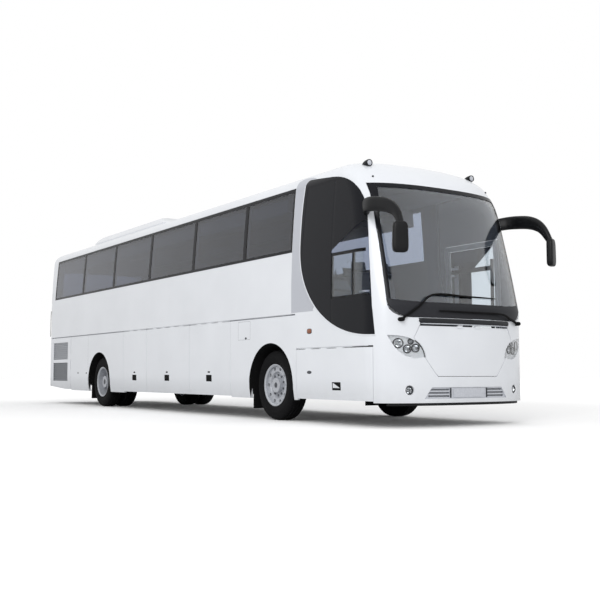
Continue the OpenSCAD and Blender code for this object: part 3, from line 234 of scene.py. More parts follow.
# aluminium-flake paint, sprayed: a soft grey sheen with no sharp glints
silver = plainCoat("silverArcPaint", "#b3b6be", "#bcbfc7", 4, 0.42, metallic=0.15, coat=0.2)
# toughened body-tinted glass, floated: dark grey, the cabin only just showing
sideGlass = tintedGlass("greySideGlass", "#747b8c")
# the same glass with less tint: lets the far windows show as pale bands
paleSideGlass = tintedGlass("paleSideGlass", "#a0a7b6")
# laminated windscreen, bent: nearly clear, with a strong mirror of the sky
screenGlass = tintedGlass("clearScreenGlass", "#dde3ea", ior=1.70)
# thin clear glass, flat: shows the cabin with little glare
driverGlass = tintedGlass("greyDriverGlass", "#d6dae2", ior=1.19)
# deep-tinted toughened glass: nearly black with a faint gleam
quarterGlass = tintedGlass("greyQuarterGlass", "#34373c", ior=1.32)
# clear toughened glass: pale, with an even reflection
doorGlass = tintedGlass("clearDoorGlass", "#dde3e5")
# polycarbonate lamp cover, moulded: clear, with a light edge gleam
lensGlass = tintedGlass("clearLampCover", "#f4f6f7", ior=1.35)
# EPDM glazing rubber, extruded: matt black that swallows light
blackSeal = plainCoat("blackGlazingRubber", "#0d0d0f", "#141517", 6, 0.55, gloss=0.3)
# grey EPDM flap rubber, extruded: a matt pale line
paleSeal = plainCoat("paleFlapRubber", "#b4b7bc", "#c0c3c8", 9, 0.6)
# black ABS, moulded with a fine grain: a dull broad highlight
blackShell = plainCoat("blackMirrorPlastic", "#08090b", "#0e0f12", 9, 0.4, gloss=0.22)
# black acrylic panel, polished: a clear but weak reflection
blackGloss = plainCoat("blackGlossPanel", "#1c1d20", "#232529", 12, 0.35, gloss=0.25)
# glass-filled nylon, moulded: flat dead black
blackLatch = plainCoat("blackLatchPlastic", "#050506", "#0a0a0b", 6, 0.75, gloss=0.15)
# chassis paint brushed on steel: black with a slight ripple
blackPaint = plainCoat("blackChassisPaint", "#111112", "#1b1c1d", 40, 0.62, bumpDepth=0.0006)
# rough polyethylene liner, rotation-moulded: black with no shine
linerPlastic = plainCoat("roughLinerPlastic", "#070708", "#0e0e0f", 12, 0.9, bumpDepth=0.001, gloss=0.2)
# carbon-black tyre rubber, cured in a mould: dark grey and matt
tyreRubber = plainCoat("tyreRubber", "#08080a", "#0e0e10", 14, 0.8, bumpDepth=0.0006, gloss=0.15)
# silver powder coat on a steel wheel: pale grey, slightly bright
wheelPaint = plainCoat("silverWheelPaint", "#a8abb1", "#bcbfc5", 25, 0.45, metallic=0.2)
# vacuum-plated reflector: a near mirror
lampChrome = plainCoat("lampReflectorChrome", "#d7d9dc", "#e4e6e8", 30, 0.10, metallic=1.0)
# grey powder-coated mesh, drawn coarser than it is so that it shows: a speckled mid grey
grilleGrey = plainCoat("greyGrilleMesh", "#7f8287", "#989ba0", 12, 0.6, bumpDepth=0.002)
# the same mesh in a paler coat, also drawn coarser than it is
grillePale = plainCoat("paleGrilleMesh", "#a6a9ae", "#bdc0c5", 12, 0.6, bumpDepth=0.002)
# white polypropylene housing, moulded: bright and flat behind the lamps
lampHousing = plainCoat("paleLampHousing", "#eef0f4", "#f4f6fa", 20, 0.4)
# satin-plated ABS ring: dark metal with a sharp rim light
bezelGrey = plainCoat("darkLampBezel", "#2e3034", "#46484d", 8, 0.3, metallic=0.7)
# clear lamp glass with a pale filament cap: a white dot
bulbGlass = plainCoat("bulbGlass", "#e8eaee", "#f2f4f6", 5, 0.1)
# silvered mirror glass: a clean reflection
mirrorSilver = plainCoat("mirrorSilver", "#c9ccd0", "#d3d6da", 60, 0.04, metallic=1.0)
# ceramic print behind glass, fired: flat black
blackPrint = plainCoat("blackGlassPrint", "#060607", "#0a0a0b", 10, 0.6, gloss=0.0)
# vinyl film on the glass: charcoal, a little sheen
cowlFilm = plainCoat("blackCowlFilm", "#232428", "#2b2c31", 10, 0.5, gloss=0.2)
# ceramic frit, fired on glass: black with a soft gloss
fritBlack = plainCoat("bondedGlassFrit", "#121317", "#18191e", 14, 0.22, gloss=0.13)
# amber acrylic lens, moulded: warm brown until it is lit
amber = plainCoat("amberLensAcrylic", "#7d4a33", "#94583c", 10, 0.2)
# red acrylic lens, moulded and clear-coated: deep red
redLens = plainCoat("redLensAcrylic", "#7b0f12", "#8e1518", 10, 0.15, coat=0.4)
# wool moquette, woven pile: grey, with a soft dry surface
seatCloth = plainCoat("seatMoquette", "#838997", "#9aa0ac", 3, 0.95, bumpDepth=0.0012)
# flecked floor vinyl, rolled: dull grey with a speckle
floorVinyl = plainCoat("floorVinyl", "#4a4b4e", "#606266", 3, 0.7)
# vacuum-formed ABS trim: pale grey and plain
rackPlastic = plainCoat("rackTrim", "#a4a6aa", "#b4b6ba", 8, 0.6)
# vinyl-faced trim board: pale grey, a little lighter than the racks
postTrim = plainCoat("palePostTrim", "#b6b8bc", "#c4c6ca", 8, 0.6)
# soft-grain PVC skin, moulded: charcoal and matt
dashPlastic = plainCoat("dashPlastic", "#303236", "#3a3c41", 3, 0.6, bumpDepth=0.0008)
# grey enamel, sprayed: pale grey with a soft gloss
grillePaint = plainCoat("greyGrillePaint", "#b4b7be", "#c0c3ca", 20, 0.45)
# blank painted aluminium plate: flat pale grey
plateBlank = plainCoat("blankPlate", "#b9bcc3", "#c4c7ce", 30, 0.4)
# zinc-plated steel, pressed: dull dark metal
lockSteel = plainCoat("lockSteel", "#3e4045", "#56585e", 6, 0.5, metallic=0.3)
# cast iron, sand-cast: grey with a rough face
iron = plainCoat("castIron", "#3a3b3d", "#55565a", 30, 0.7, bumpDepth=0.002)
# GRP lid with a gel coat: off-white, less glossy than the body
lidPlastic = plainCoat("roofLidPlastic", "#cfd2d6", "#d8dbdf", 18, 0.5)
print("materials ready")


# Pieces

def asMesh(name, points, faces):
    # arrays of points and four-sided faces into a mesh, doubles merged, faces turned outwards
    mesh = bpy.data.meshes.new(name)
    mesh.from_pydata(points.reshape(-1, 3).tolist(), [], faces.tolist())
    work = bmesh.new()
    work.from_mesh(mesh)
    bmesh.ops.remove_doubles(work, verts=work.verts, dist=2e-5)
    bmesh.ops.dissolve_degenerate(work, edges=work.edges, dist=1e-6)
    bmesh.ops.recalc_face_normals(work, faces=work.faces)
    work.to_mesh(mesh)
    work.free()
    return mesh


def gridFaces(rows, cols, start=0):
    # four corners of each cell of a grid, counted row by row
    a = (np.arange(rows - 1)[:, None] * cols + np.arange(cols - 1)[None, :]).ravel() + start
    return np.stack([a, a + 1, a + cols + 1, a + cols], axis=1)


def makePiece(name, grids, body, material, replaced=(), sharp=35):
    # each grid is an array of rows by columns by 3; all become one object that rides on the body
    points, faces, start = [], [], 0
    for g in grids:
        rows, cols = g.shape[:2]
        points.append(g.reshape(-1, 3))
        faces.append(gridFaces(rows, cols, start))
        start += rows * cols
    mesh = asMesh(name, np.concatenate(points), np.concatenate(faces))
    mesh.materials.append(material)
    mesh.polygons.foreach_set("use_smooth", np.ones(len(mesh.polygons), bool))
    mesh.set_sharp_from_angle(angle=math.radians(sharp))
    piece = bpy.data.objects.new(name, mesh)
    bpy.context.scene.collection.objects.link(piece)
    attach(piece, body)
    if replaced:
        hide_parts(*replaced)
    return piece


def around(count):
    # angles of a full turn, the last the same as the first
    return np.linspace(0, 2 * math.pi, count + 1)


def roundPower(angle, power):
    # superellipse: cosine and sine with their sizes raised to 2 / power
    c, s = np.cos(angle), np.sin(angle)
    return np.sign(c) * np.abs(c) ** (2 / power), np.sign(s) * np.abs(s) ** (2 / power)


def smoothPath(knots, count):
    # Catmull-Rom curve: each span is a cubic through its two knots, led by the knots on either side
    k = np.asarray(knots, float)
    k = np.concatenate([[2 * k[0] - k[1]], k, [2 * k[-1] - k[-2]]])
    t = np.linspace(0, len(k) - 3 - 1e-9, count)
    i = t.astype(int)
    u = (t - i).reshape((-1,) + (1,) * (k.ndim - 1))
    p0, p1, p2, p3 = k[i], k[i + 1], k[i + 2], k[i + 3]
    return 0.5 * (2 * p1 + (p2 - p0) * u + (2 * p0 - 5 * p1 + 4 * p2 - p3) * u ** 2
                  + (3 * p1 - p0 - 3 * p2 + p3) * u ** 3)


def bend(a, b, c, count):
    # quadratic curve from a to c, drawn towards b
    u = np.linspace(0, 1, count)[:, None]
    return np.asarray(a) * (1 - u) ** 2 + np.asarray(b) * 2 * u * (1 - u) + np.asarray(c) * u ** 2


def sweep(path, wide, tall, sides=20, power=2.0, up=(0, 0, 1)):
    # superellipse section carried along a path, its width square to run and up, its height square to both;
    # the ends are closed
    path = np.asarray(path, float)
    wide, tall = np.broadcast_to(wide, len(path)), np.broadcast_to(tall, len(path))
    run = np.gradient(path, axis=0)
    run /= np.linalg.norm(run, axis=1, keepdims=True)
    side = np.cross(run, np.asarray(up, float))
    side /= np.linalg.norm(side, axis=1, keepdims=True)
    top = np.cross(side, run)
    c, s = roundPower(around(sides), power)
    skinGrid = (path[:, None] + side[:, None] * (wide[:, None] * c)[..., None]
                + top[:, None] * (tall[:, None] * s)[..., None])
    ends = [np.repeat(path[k][None, None], sides + 1, axis=1) for k in (0, -1)]
    return np.concatenate([ends[0], skinGrid, ends[1]])


def turned(centre, axis, profile, sides=48):
    # profile of (radius, run) pairs turned about an axis through the centre
    profile = np.asarray(profile, float)
    axis = np.asarray(axis, float) / np.linalg.norm(axis)
    helper = np.array([0, 0, 1.0]) if abs(axis[2]) < 0.9 else np.array([1.0, 0, 0])
    one = np.cross(helper, axis)
    one /= np.linalg.norm(one)
    two = np.cross(axis, one)
    a = around(sides)
    spoke = np.cos(a)[:, None] * one + np.sin(a)[:, None] * two
    return (np.asarray(centre, float) + profile[:, None, :1] * spoke[None]
            + profile[:, None, 1:] * axis)


def hoop(centre, axis, radius, thick, sides=48):
    # round bead bent into a ring: a circle of the given thickness turned about the axis
    a = around(12)
    return turned(centre, axis, np.stack([radius + thick * np.cos(a), thick * np.sin(a)], axis=1), sides)


def dome(centre, across, up, a, b, high, base=0.004, power=2.0):
    # oval dome: a superellipse outline shrinks to the middle while the height rises as a quarter ellipse,
    # closed by a flat base behind
    across, up = np.asarray(across, float), np.asarray(up, float)
    r = np.sin(np.linspace(0, math.pi / 2, 10))
    rise = np.concatenate([high * np.sqrt(1 - r ** 2), [-base, -base]])
    r = np.concatenate([r, [1, 0]])
    c, s = roundPower(around(48), power)
    return (np.asarray(centre, float) + np.outer(r, a * c)[..., None] * across
            + np.outer(r, b * s)[..., None] * up + rise[:, None, None] * np.cross(across, up))


def skinPoint(x, z, side, out=0.0):
    # point on the side of the body, a little out from the skin
    x, z = np.broadcast_arrays(np.asarray(x, float), np.asarray(z, float))
    return np.stack([x, side * (sideY(x, z) + out), z], axis=-1)


def nosePoint(y, z, out=0.0):
    # point on the front of the body, a little out from the skin
    y, z = np.broadcast_arrays(np.asarray(y, float), np.asarray(z, float))
    return np.stack([noseX(y, z) + out, y, z], axis=-1)


def sideDome(x, z, side, a, b, high, out=0.0, power=2.0):
    # dome that stands out of the side of the body
    return dome(skinPoint(x, z, side, out), (-side, 0, 0), (0, 0, 1), a, b, high, power=power)


def mergedCopy(node):
    # copy of a CAD mesh, its loose triangles joined
    mesh = nodes[node].data.copy()
    mesh.name = node + "_skin"
    work = bmesh.new()
    work.from_mesh(mesh)
    bmesh.ops.remove_doubles(work, verts=work.verts, dist=2e-5)
    bmesh.ops.dissolve_degenerate(work, edges=work.edges, dist=1e-6)
    work.to_mesh(mesh)
    work.free()
    mesh.polygons.foreach_set("use_smooth", np.ones(len(mesh.polygons), bool))
    mesh.set_sharp_from_angle(angle=math.radians(28))
    return mesh


def gather(owner, name, width):
    # one attribute of a mesh as an array
    values = np.empty(len(owner) * width, np.float64 if width > 1 else np.int64)
    owner.foreach_get(name, values)
    return values.reshape(-1, width) if width > 1 else values


def skinCopy(node, material, others=()):
    # a body panel in the node's own form, with normals from the skin's formula, so it shades as one sweep;
    # each of the others is a material and a test of face centres that says where it goes
    mesh = mergedCopy(node)
    points, corner = gather(mesh.vertices, "co", 3), gather(mesh.loops, "vertex_index", 1)
    sides, flat = gather(mesh.polygons, "loop_total", 1), gather(mesh.polygons, "normal", 3)
    centre = gather(mesh.polygons, "center", 3)
    flatCorner = np.repeat(flat, sides, axis=0)
    smooth = skinNormal(points)[corner]
    lie = (smooth * flatCorner).sum(axis=1)
    normal = np.where((lie > 0.9)[:, None], smooth, np.where((lie < -0.9)[:, None], -smooth, flatCorner))
    mesh.materials.clear()
    mesh.materials.append(material)
    index = np.zeros(len(centre), np.int32)
    for k, (other, test) in enumerate(others):
        mesh.materials.append(other)
        index[test(centre)] = k + 1
    mesh.polygons.foreach_set("material_index", index)
    mesh.normals_split_custom_set(normal.tolist())
    piece = bpy.data.objects.new(node + "_skin", mesh)
    bpy.context.scene.collection.objects.link(piece)
    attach(piece, bodyOf[node])
    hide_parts(node)
    return piece


def inBox(low, high, deeper, shallower=9.0):
    # faces whose centres lie in a box along the side, between two depths inside the skin
    def test(centre):
        x, z = centre[:, 0], centre[:, 2]
        depth = sideY(x, z) - np.abs(centre[:, 1])
        inside = (x > low[0]) & (x < high[0]) & (z > low[1]) & (z < high[1])
        return inside & (depth > deeper) & (depth < shallower)
    return test


def dress(node, material, angle=32):
    # a CAD node that keeps its form: welded and shaded smooth up to the angle by modifiers
    piece = nodes[node]
    piece.data.materials.clear()
    piece.data.materials.append(material)
    piece.data.polygons.foreach_set("use_smooth", np.ones(len(piece.data.polygons), bool))
    weld = piece.modifiers.new("weld", "WELD")
    weld.merge_threshold = 2e-5
    split = piece.modifiers.new("split", "EDGE_SPLIT")
    split.split_angle = math.radians(angle)
    return piece


# Body panels
latch = dict(half=0.095, tall=0.0525, flapZ=0.592, serviceZ=0.502, room=0.004)
cornerGrille = dict(x0=tailX + 0.320, x1=tailX + 1.2816, zs=[(0.506, 0.909), (0.981, 1.357)])
rebate = 0.014    # glass seat in the side walls
archRadius = 0.612
windows = dict(seat=(2.2, 3.3), posts=(1.55, 3.3), skinDepth=0.004)    # heights, and the painted face
frameInside = dict(behind=0.016, within=0.012, below=3.12)


def latchBox(node, z):
    # the latch recess in a flap's middle
    low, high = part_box(node)
    x = (low.x + high.x) / 2 + (0.1 if node == "service_flap" else 0)
    half, tall = latch["half"] + latch["room"], latch["tall"] + latch["room"]
    return inBox((x - half, z - tall), (x + half, z + tall), 0.0015)


def slatFaces(k):
    # the recessed faces of one corner grille
    g = cornerGrille
    return inBox((g["x0"] - 0.01, g["zs"][k][0]), (g["x1"] + 0.01, g["zs"][k][1]), 0.006)


def archFaces(centre):
    # cut faces of the wheel arches: deeper than the skin, within the arch's radius of either axle
    x, z = centre[:, 0], centre[:, 2] - (frontTyre[0].z + frontTyre[1].z) / 2
    near = np.minimum(np.hypot(x - axleX, z), np.hypot(x - rearX, z)) < archRadius
    return near & (sideY(x, centre[:, 2]) - np.abs(centre[:, 1]) > 0.004)


def innerFaces(centre):
    # faces of the front frame that lie behind its outer skin, below the brow
    y, z = centre[:, 1], centre[:, 2]
    inside = (noseX(y, z) - centre[:, 0] > frameInside["behind"])
    return inside & (sideY(centre[:, 0], z) - np.abs(y) > frameInside["within"]) & (z < frameInside["below"])


seatLow, seatHigh = windows["seat"]
postLow, postHigh = windows["posts"]
windowSeat = inBox((tailX, seatLow), (frontX, seatHigh), windows["skinDepth"], rebate)
windowPosts = inBox((tailX, postLow), (frontX, postHigh), rebate)
for node in ("side_wall_right", "side_wall_left"):
    skinCopy(node, enamel, [(blackSeal, windowSeat), (postTrim, windowPosts)])
for node in ("roof_panel", "front_mask", "front_hatch", "door_leaf"):
    skinCopy(node, enamel)
skinCopy("windscreen_frame", enamel, [(dashPlastic, innerFaces)])
skinCopy("skirt_right", enamel, [(linerPlastic, archFaces)])
slats = [(grilleGrey, slatFaces(0)), (grillePale, slatFaces(1))]
skinCopy("skirt_left", enamel, [(linerPlastic, archFaces)] + slats)
skinCopy("radiator_door", enamel, slats)
flaps = [n for n in nodes if n.startswith("luggage_flap")]
for node in flaps:
    skinCopy(node, enamel, [(blackLatch, latchBox(node, latch["flapZ"]))])
skinCopy("service_flap", enamel, [(blackLatch, latchBox("service_flap", latch["serviceZ"]))])
skinCopy("arc_pillars", silver)
panes = {"side_glass_right": sideGlass, "side_glass_left": paleSideGlass, "driver_glass": driverGlass,
         "door_quarter_glass": quarterGlass, "door_glass": doorGlass}
for node, material in panes.items():
    skinCopy(node, material)
skinCopy("windscreen", screenGlass)
print("body panels dressed")

finishes = {
    enamel: ["tail_panel", "engine_lid", "roof_unit"],
    sideGlass: ["tail_glass"],
    floorVinyl: ["floor_deck", "luggage_floor"],
    linerPlastic: ["wheel_housings"],
    blackPaint: ["chassis_frame", "front_axle", "rear_axle", "knuckle_right", "knuckle_left", "door_arms"],
    iron: ["engine_block"],
    dashPlastic: ["dashboard"],
    rackPlastic: ["luggage_racks"],
    lampHousing: ["headlamps"],
    lensGlass: ["lamp_lenses"],
    grillePaint: ["front_grille"],
    wheelPaint: [n for n in nodes if "_rim" in n],
}
for material, names in finishes.items():
    for node in names:
        dress(node, material)
print("plain nodes dressed")

# Tyres
tyre = dict(angles=216, sideRows=36, treadRows=60, lugs=54, grooveDepth=0.010, grooveHalf=0.0062, notch=0.007,
            grooves=(-0.078, -0.026, 0.026, 0.078))


def tyreGrid(centre, out):
    # closed section turned about the axle: bead, swelling side wall with rings, shoulder, tread;
    # the tread drops by a groove's depth near each groove line and at each shoulder notch
    low, high = frontTyre
    big, wide = (high.z - low.z) / 2, (high.y - low.y) / 2
    rim = big - 0.216
    knots = [(rim, wide - 0.034), (rim + 0.012, wide - 0.022), (rim + 0.03, wide - 0.014),
             (rim + 0.055, wide - 0.006), (rim + 0.09, wide - 0.001), (rim + 0.12, wide - 0.001),
             (big - 0.07, wide - 0.006), (big - 0.04, wide - 0.013), (big - 0.018, wide - 0.024),
             (big - 0.006, wide - 0.040), (big - 0.001, wide - 0.064), (big, wide - 0.075)]
    side = smoothPath(knots, tyre["sideRows"])
    across = np.linspace(wide - 0.076, -wide + 0.076, tyre["treadRows"])
    tread = np.stack([np.full(tyre["treadRows"], big), across], axis=1)
    section = np.concatenate([side, tread, side[::-1] * [1, -1]])
    r, y = section[:, 0].copy(), section[:, 1]
    r += 0.0016 * np.exp(-((r - rim - 0.045) / 0.004) ** 2)                       # ring by the rim
    outward = np.sign(y) * 0.0018 * np.exp(-((r - big + 0.062) / 0.005) ** 2)     # ring by the shoulder
    a = around(tyre["angles"])
    depth = np.zeros((len(r), len(a)))
    for g in tyre["grooves"]:
        zig = 0.004 * np.sign(np.sin(a * tyre["lugs"])) if abs(g) < 0.05 else 0 * a
        near = np.abs(y[:, None] - g - zig[None]) < tyre["grooveHalf"]
        depth = np.maximum(depth, near * (r > big - 0.003)[:, None] * tyre["grooveDepth"])
    shoulder = (np.abs(y) > wide - 0.062) & (r > big - 0.045)
    depth = np.maximum(depth, np.outer(shoulder, np.cos(a * tyre["lugs"]) > 0.80) * tyre["notch"])
    radius = r[:, None] - depth
    across = np.broadcast_to((y + outward)[:, None], radius.shape)
    grid = np.stack([centre[0] + radius * np.cos(a), centre[1] + out * across,
                     centre[2] + radius * np.sin(a)], axis=-1)
    return np.concatenate([grid, grid[:1]])    # the section closes at the bead


tyreWide = frontTyre[1].y - frontTyre[0].y
for side, sign in bothSides:
    for end, body in (("front_tyre", "front_wheel_"), ("rear_tyres", "rear_wheels_")):
        low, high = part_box(end + "_" + side)
        x, z = (low.x + high.x) / 2, (low.z + high.z) / 2
        rows = sorted({round(low.y + tyreWide / 2, 5), round(high.y - tyreWide / 2, 5)})
        grids = [tyreGrid((x, y, z), sign) for y in rows]
        makePiece(end + "_" + side + "_rubber", grids, body + side, tyreRubber,
                  [end + "_" + side], sharp=40)
print("tyres turned")

# Wheel trim, with painted shade: a dark ring behind the hand holes and dark caps on the nuts and hub
# shield is a dark ring set behind the hand holes: painted shade that keeps the holes dark
wheelTrim = dict(shield=[(0.203, 0.0), (0.262, 0.0), (0.262, -0.004), (0.203, -0.004), (0.203, 0.0)],
                 nuts=10, nutCircle=0.147, nutR=0.016, nutHigh=0.012,
                 front=dict(shieldAt=0.052, nutAt=0.076, hubAt=0.1155, hubR=0.040),
                 rear=dict(shieldAt=-0.088, nutAt=0.026, hubAt=0.0835, hubR=0.052))    # from tyre's middle


def wheelShadeDots(x, y, z, sign, at):
    # dark domed caps on the nuts and the hub: nut covers that also paint the nuts' shade; the hub cap is
    # painted shade
    t = wheelTrim
    a = (around(t["nuts"])[:-1] + math.pi / t["nuts"])
    ring = [dome((x + t["nutCircle"] * c, y + sign * at["nutAt"], z + t["nutCircle"] * s), (-sign, 0, 0),
                 (0, 0, 1), t["nutR"], t["nutR"], t["nutHigh"]) for c, s in zip(np.cos(a), np.sin(a))]
    hub = dome((x, y + sign * at["hubAt"], z), (-sign, 0, 0), (0, 0, 1), at["hubR"], at["hubR"], 0.008)
    return ring + [hub]


for side, sign in bothSides:
    for end, node, body in (("front", "front_tyre_", "front_wheel_"),
                            ("rear", "rear_tyres_", "rear_wheels_")):
        low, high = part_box(node + side)
        at = wheelTrim[end]
        x, z = (low.x + high.x) / 2, (low.z + high.z) / 2
        y = sign * (max(abs(low.y), abs(high.y)) - tyreWide / 2)
        # dark ring behind the hand holes: painted shade inside the wheel
        ring = turned((x, y + sign * at["shieldAt"], z), (0, sign, 0), wheelTrim["shield"], 64)
        makePiece(end + "_shield_" + side, [ring], body + side, linerPlastic)
        # dark caps over the nuts and the hub: partly painted shade
        caps = wheelShadeDots(x, y, z, sign, at)
        makePiece(end + "_nut_caps_" + side, caps, body + side, lockSteel)
print("wheels trimmed")

# Mirrors
mirror = dict(
    arm=[(-0.590, -0.110, -0.760), (-0.490, -0.030, -0.745), (-0.350, 0.010, -0.750),
         (-0.150, 0.000, -0.780), (0.010, -0.010, -0.835), (0.130, -0.013, -0.925)],    # nose, side, crown
    armHalf=[(0.045, 0.088), (0.045, 0.090), (0.045, 0.092), (0.044, 0.090), (0.042, 0.080),
             (0.040, 0.062), (0.036, 0.040)],    # across, in its own plane
    head=(0.045, 0.095, 0.185), drop=1.231, out=0.018, turn=math.radians(25), back=0.069,
    glass=(0.077, 0.163))
headAt = np.array([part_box("mirror_left")[1].x - mirror["back"], halfWidth + mirror["out"],
                   skin["roofZ"] - mirror["drop"]])


def turnHead(grid, sign):
    # the head's own grid turned outwards about the upright axis, set in place, mirrored for the right
    c, s = math.cos(mirror["turn"]), math.sin(mirror["turn"])
    x, y, z = np.moveaxis(grid, -1, 0)
    return (np.stack([x * c - y * s, x * s + y * c, z], axis=-1) + headAt) * [1, sign, 1]


def mirrorArm(sign):
    # flat oval section carried along the arm's curve, thinner towards the head
    knots = np.array(mirror["arm"]) + [frontX, halfWidth, skin["roofZ"]]
    foot = headAt + [0, -0.015, mirror["head"][2] - 0.040]
    path = smoothPath(np.concatenate([knots, [foot]]), 72)
    size = smoothPath(mirror["armHalf"], 72)
    path[:, 1] *= sign
    return sweep(path, size[:, 1], size[:, 0], sides=32, power=2.6, up=(0, sign, 0.001))


def mirrorHead(sign):
    # superellipsoid: rounded box whose sections and outline are both superellipses, fuller at the foot,
    # flat behind, where the glass is
    a, b, c = mirror["head"]
    u, v = around(56), np.linspace(-math.pi / 2, math.pi / 2, 45)
    cu, su = roundPower(u, 4.5)
    cv, sv = roundPower(v, 5.0)
    cv = cv * (1 - 0.05 * sv)
    deep = np.maximum(a * np.outer(cv, cu), -a * 0.92)
    head = np.stack([deep, b * np.outer(cv, su), c * np.outer(sv, np.ones_like(u))], axis=-1)
    return turnHead(head, sign)


def mirrorGlass(sign):
    # rounded rectangle with a slight bow, set in the back of the head
    w, h = mirror["glass"]
    plate = dome((-mirror["head"][0] * 0.93, 0, 0), (0, -1, 0), (0, 0, 1), w, h, 0.003, 0.001, 7)
    return turnHead(plate, sign)


for side, sign in bothSides:
    shell = [mirrorArm(sign), mirrorHead(sign)]
    makePiece("mirror_shell_" + side, shell, "coach", blackShell, ["mirror_" + side])
    makePiece("mirror_glass_" + side, [mirrorGlass(sign)], "coach", mirrorSilver)
print("mirrors shaped")

# Wipers
wiper = dict(lift=0.045, blade=0.022,
             right=[(-1.000, 1.325), (-0.560, 1.640), (0.500, 1.632)],    # spindle, heel, blade's far end
             left=[(0.985, 1.325), (0.560, 1.430), (-0.480, 1.440)])


def wiperGrids(points):
    # spindle cap turned about x; arm a tapered bar; blade a spine over a thin lip, both along the glass
    (y0, z0), (y1, z1), (y2, z2) = points
    yMid, zMid = (y1 + y2) / 2, (z1 + z2) / 2
    foot = nosePoint(y0, z0, 0.030)
    heel, claw = nosePoint(y1, z1, wiper["lift"]), nosePoint(yMid, zMid, wiper["lift"] - 0.006)
    arm = smoothPath(np.stack([foot, foot + (heel - foot) * 0.5 + [0.012, 0, 0], heel, claw]), 40)
    span = np.linspace(0, 1, 40)
    y, z = y1 + (y2 - y1) * span, z1 + (z2 - z1) * span
    taper = 0.35 + 0.65 * np.sin(math.pi * np.clip(span, 0.04, 0.96)) ** 0.4
    spine = sweep(nosePoint(y, z, wiper["blade"] + 0.004), 0.009 * taper, 0.011 * taper, 12, 3)
    lip = sweep(nosePoint(y, z, 0.010), 0.009, 0.003, 8, 4, up=(0, 0.001, 1))
    yBridge = yMid + (y2 - y1) * np.linspace(-0.16, 0.16, 16)
    bridge = sweep(nosePoint(yBridge, zMid, 0.034), 0.008, 0.006, 10, 3)
    cap = turned(foot - [0.045, 0, 0], (1, 0, 0), [(0, 0), (0.026, 0), (0.026, 0.072), (0.022, 0.083),
                                                   (0.012, 0.089), (0, 0.090)], 32)
    bar = sweep(arm, np.linspace(0.013, 0.008, 40), np.linspace(0.016, 0.010, 40), 14, 4)
    return [bar, spine, lip, bridge, cap]


makePiece("wiper_set", wiperGrids(wiper["right"]) + wiperGrids(wiper["left"]), "coach", blackLatch,
          ["wipers"])
print("wipers laid")

# Glass edges
quarter = dict(rear=axleX + 0.795, seam=frontX - 0.330, low=1.136, mid=2.360, top=3.235,
               corner=0.055, power=2.4)
screen = dict(low=1.350, top=3.095, bandTop=1.545, bandRise=0.042, edge=0.045, half=halfWidth - 0.139)
frontEdge = np.concatenate([
    bend((frontX - 1.250, quarter["top"]), (frontX - 0.650, quarter["top"] - 0.035),
         (frontX - 0.557, quarter["mid"] + 0.290), 30),
    bend((frontX - 0.557, quarter["mid"] + 0.290), (frontX - 0.400, quarter["mid"] - 0.510),
         (quarter["seam"] - 0.010, quarter["low"]), 30)[1:]])


def quarterLow(x):
    # lower edge of the round-ended window: superellipse about its front end
    q = quarter
    v = np.clip((q["seam"] - x) / (q["seam"] - q["rear"]), 0, 1)
    return q["mid"] - (q["mid"] - q["low"]) * (1 - v ** q["power"]) ** (1 / q["power"])


def quarterHigh(x):
    # upper edge: slanted corner, level run, then the two bends over the shoulder and down to the foot
    q = quarter
    edge = np.concatenate([[(q["rear"], q["mid"]), (q["rear"] + q["corner"], q["top"])], frontEdge])
    return np.interp(x, edge[:, 0], edge[:, 1])


def quarterRear(n):
    # rear edge from the top corner down and round to the seam
    q = quarter
    f = np.linspace(math.pi / 2, 0, n)
    x = q["seam"] - (q["seam"] - q["rear"]) * np.sin(f) ** (2 / q["power"])
    z = q["mid"] - (q["mid"] - q["low"]) * np.cos(f) ** (2 / q["power"])
    u = np.linspace(0, 1, 20)[:-1]
    upper = np.stack([q["rear"] + q["corner"] * (1 - u), q["top"] + (q["mid"] - q["top"]) * u], axis=1)
    return np.concatenate([upper, np.stack([x, z], axis=1)])


def closedSheet(front, back):
    # two faces of a thin sheet joined into one closed skin, their first and last columns brought together
    front[:, 0], front[:, -1] = back[:, 0], back[:, -1]
    return np.concatenate([front, back[::-1], front[:1]])


def onSide(x, z, side, inset):
    # point of the side at a depth inside the skin, or proud of it if the depth is negative
    x, z = np.broadcast_arrays(x, z)
    return np.stack([x, side * sideY(x, z, inset), z], axis=-1)


def between(x, zLow, zHigh, side, inset, rows=24):
    # thin closed sheet between two edges given over x, laid at a depth inside the skin
    z = zLow + (zHigh - zLow) * np.linspace(0, 1, rows)[:, None]
    return closedSheet(onSide(x, z, side, inset), onSide(x, z, side, inset + 0.001))


driverPane = dict(x0=axleX + 1.52, x1=quarter["seam"] - 0.014, sill=1.640, rail=2.215, slantLow=2.275,
                  slantHigh=2.706, mullion=axleX + 1.985, depth=0.0006,
                  paneGap=(0.024, 0.026, 0.200),    # at the rear, the mullion and the front
                  paneEnds=(0.020, 0.022))          # at the sill and the rail


def printEdge():
    # black print on the driver's window, all but the clear part beside the seat
    d, q = driverPane, quarter
    xRear = np.linspace(q["rear"] + 0.003, d["x0"], 40)
    xFront = np.linspace(d["x0"], d["x1"], 40)
    top = quarterHigh(xFront)
    rise = (xFront - d["x0"]) / (d["x1"] - d["x0"])
    slant = np.minimum(d["slantLow"] + rise * (d["slantHigh"] - d["slantLow"]), top)
    return [between(xRear, quarterLow(xRear), quarterHigh(xRear), -1, d["depth"]),
            between(xFront, quarterLow(xFront), np.minimum(d["sill"], top), -1, d["depth"]),
            between(xFront, slant, top, -1, d["depth"])]


def paneBar(x0, z0, x1, z1, wide):
    # flat section along a straight line behind the driver's window
    u = np.linspace(0, 1, 24)
    x, z = x0 + (x1 - x0) * u, z0 + (z1 - z0) * u
    path = np.stack([x, -sideY(x, z, 0.022), z], axis=-1)
    return sweep(path, 0.009, wide, 12, 6, up=(0, 0, 1) if abs(z1 - z0) < 0.1 else (1, 0, 0))


d = driverPane
makePiece("driver_window_print", printEdge(), "coach", fritBlack)


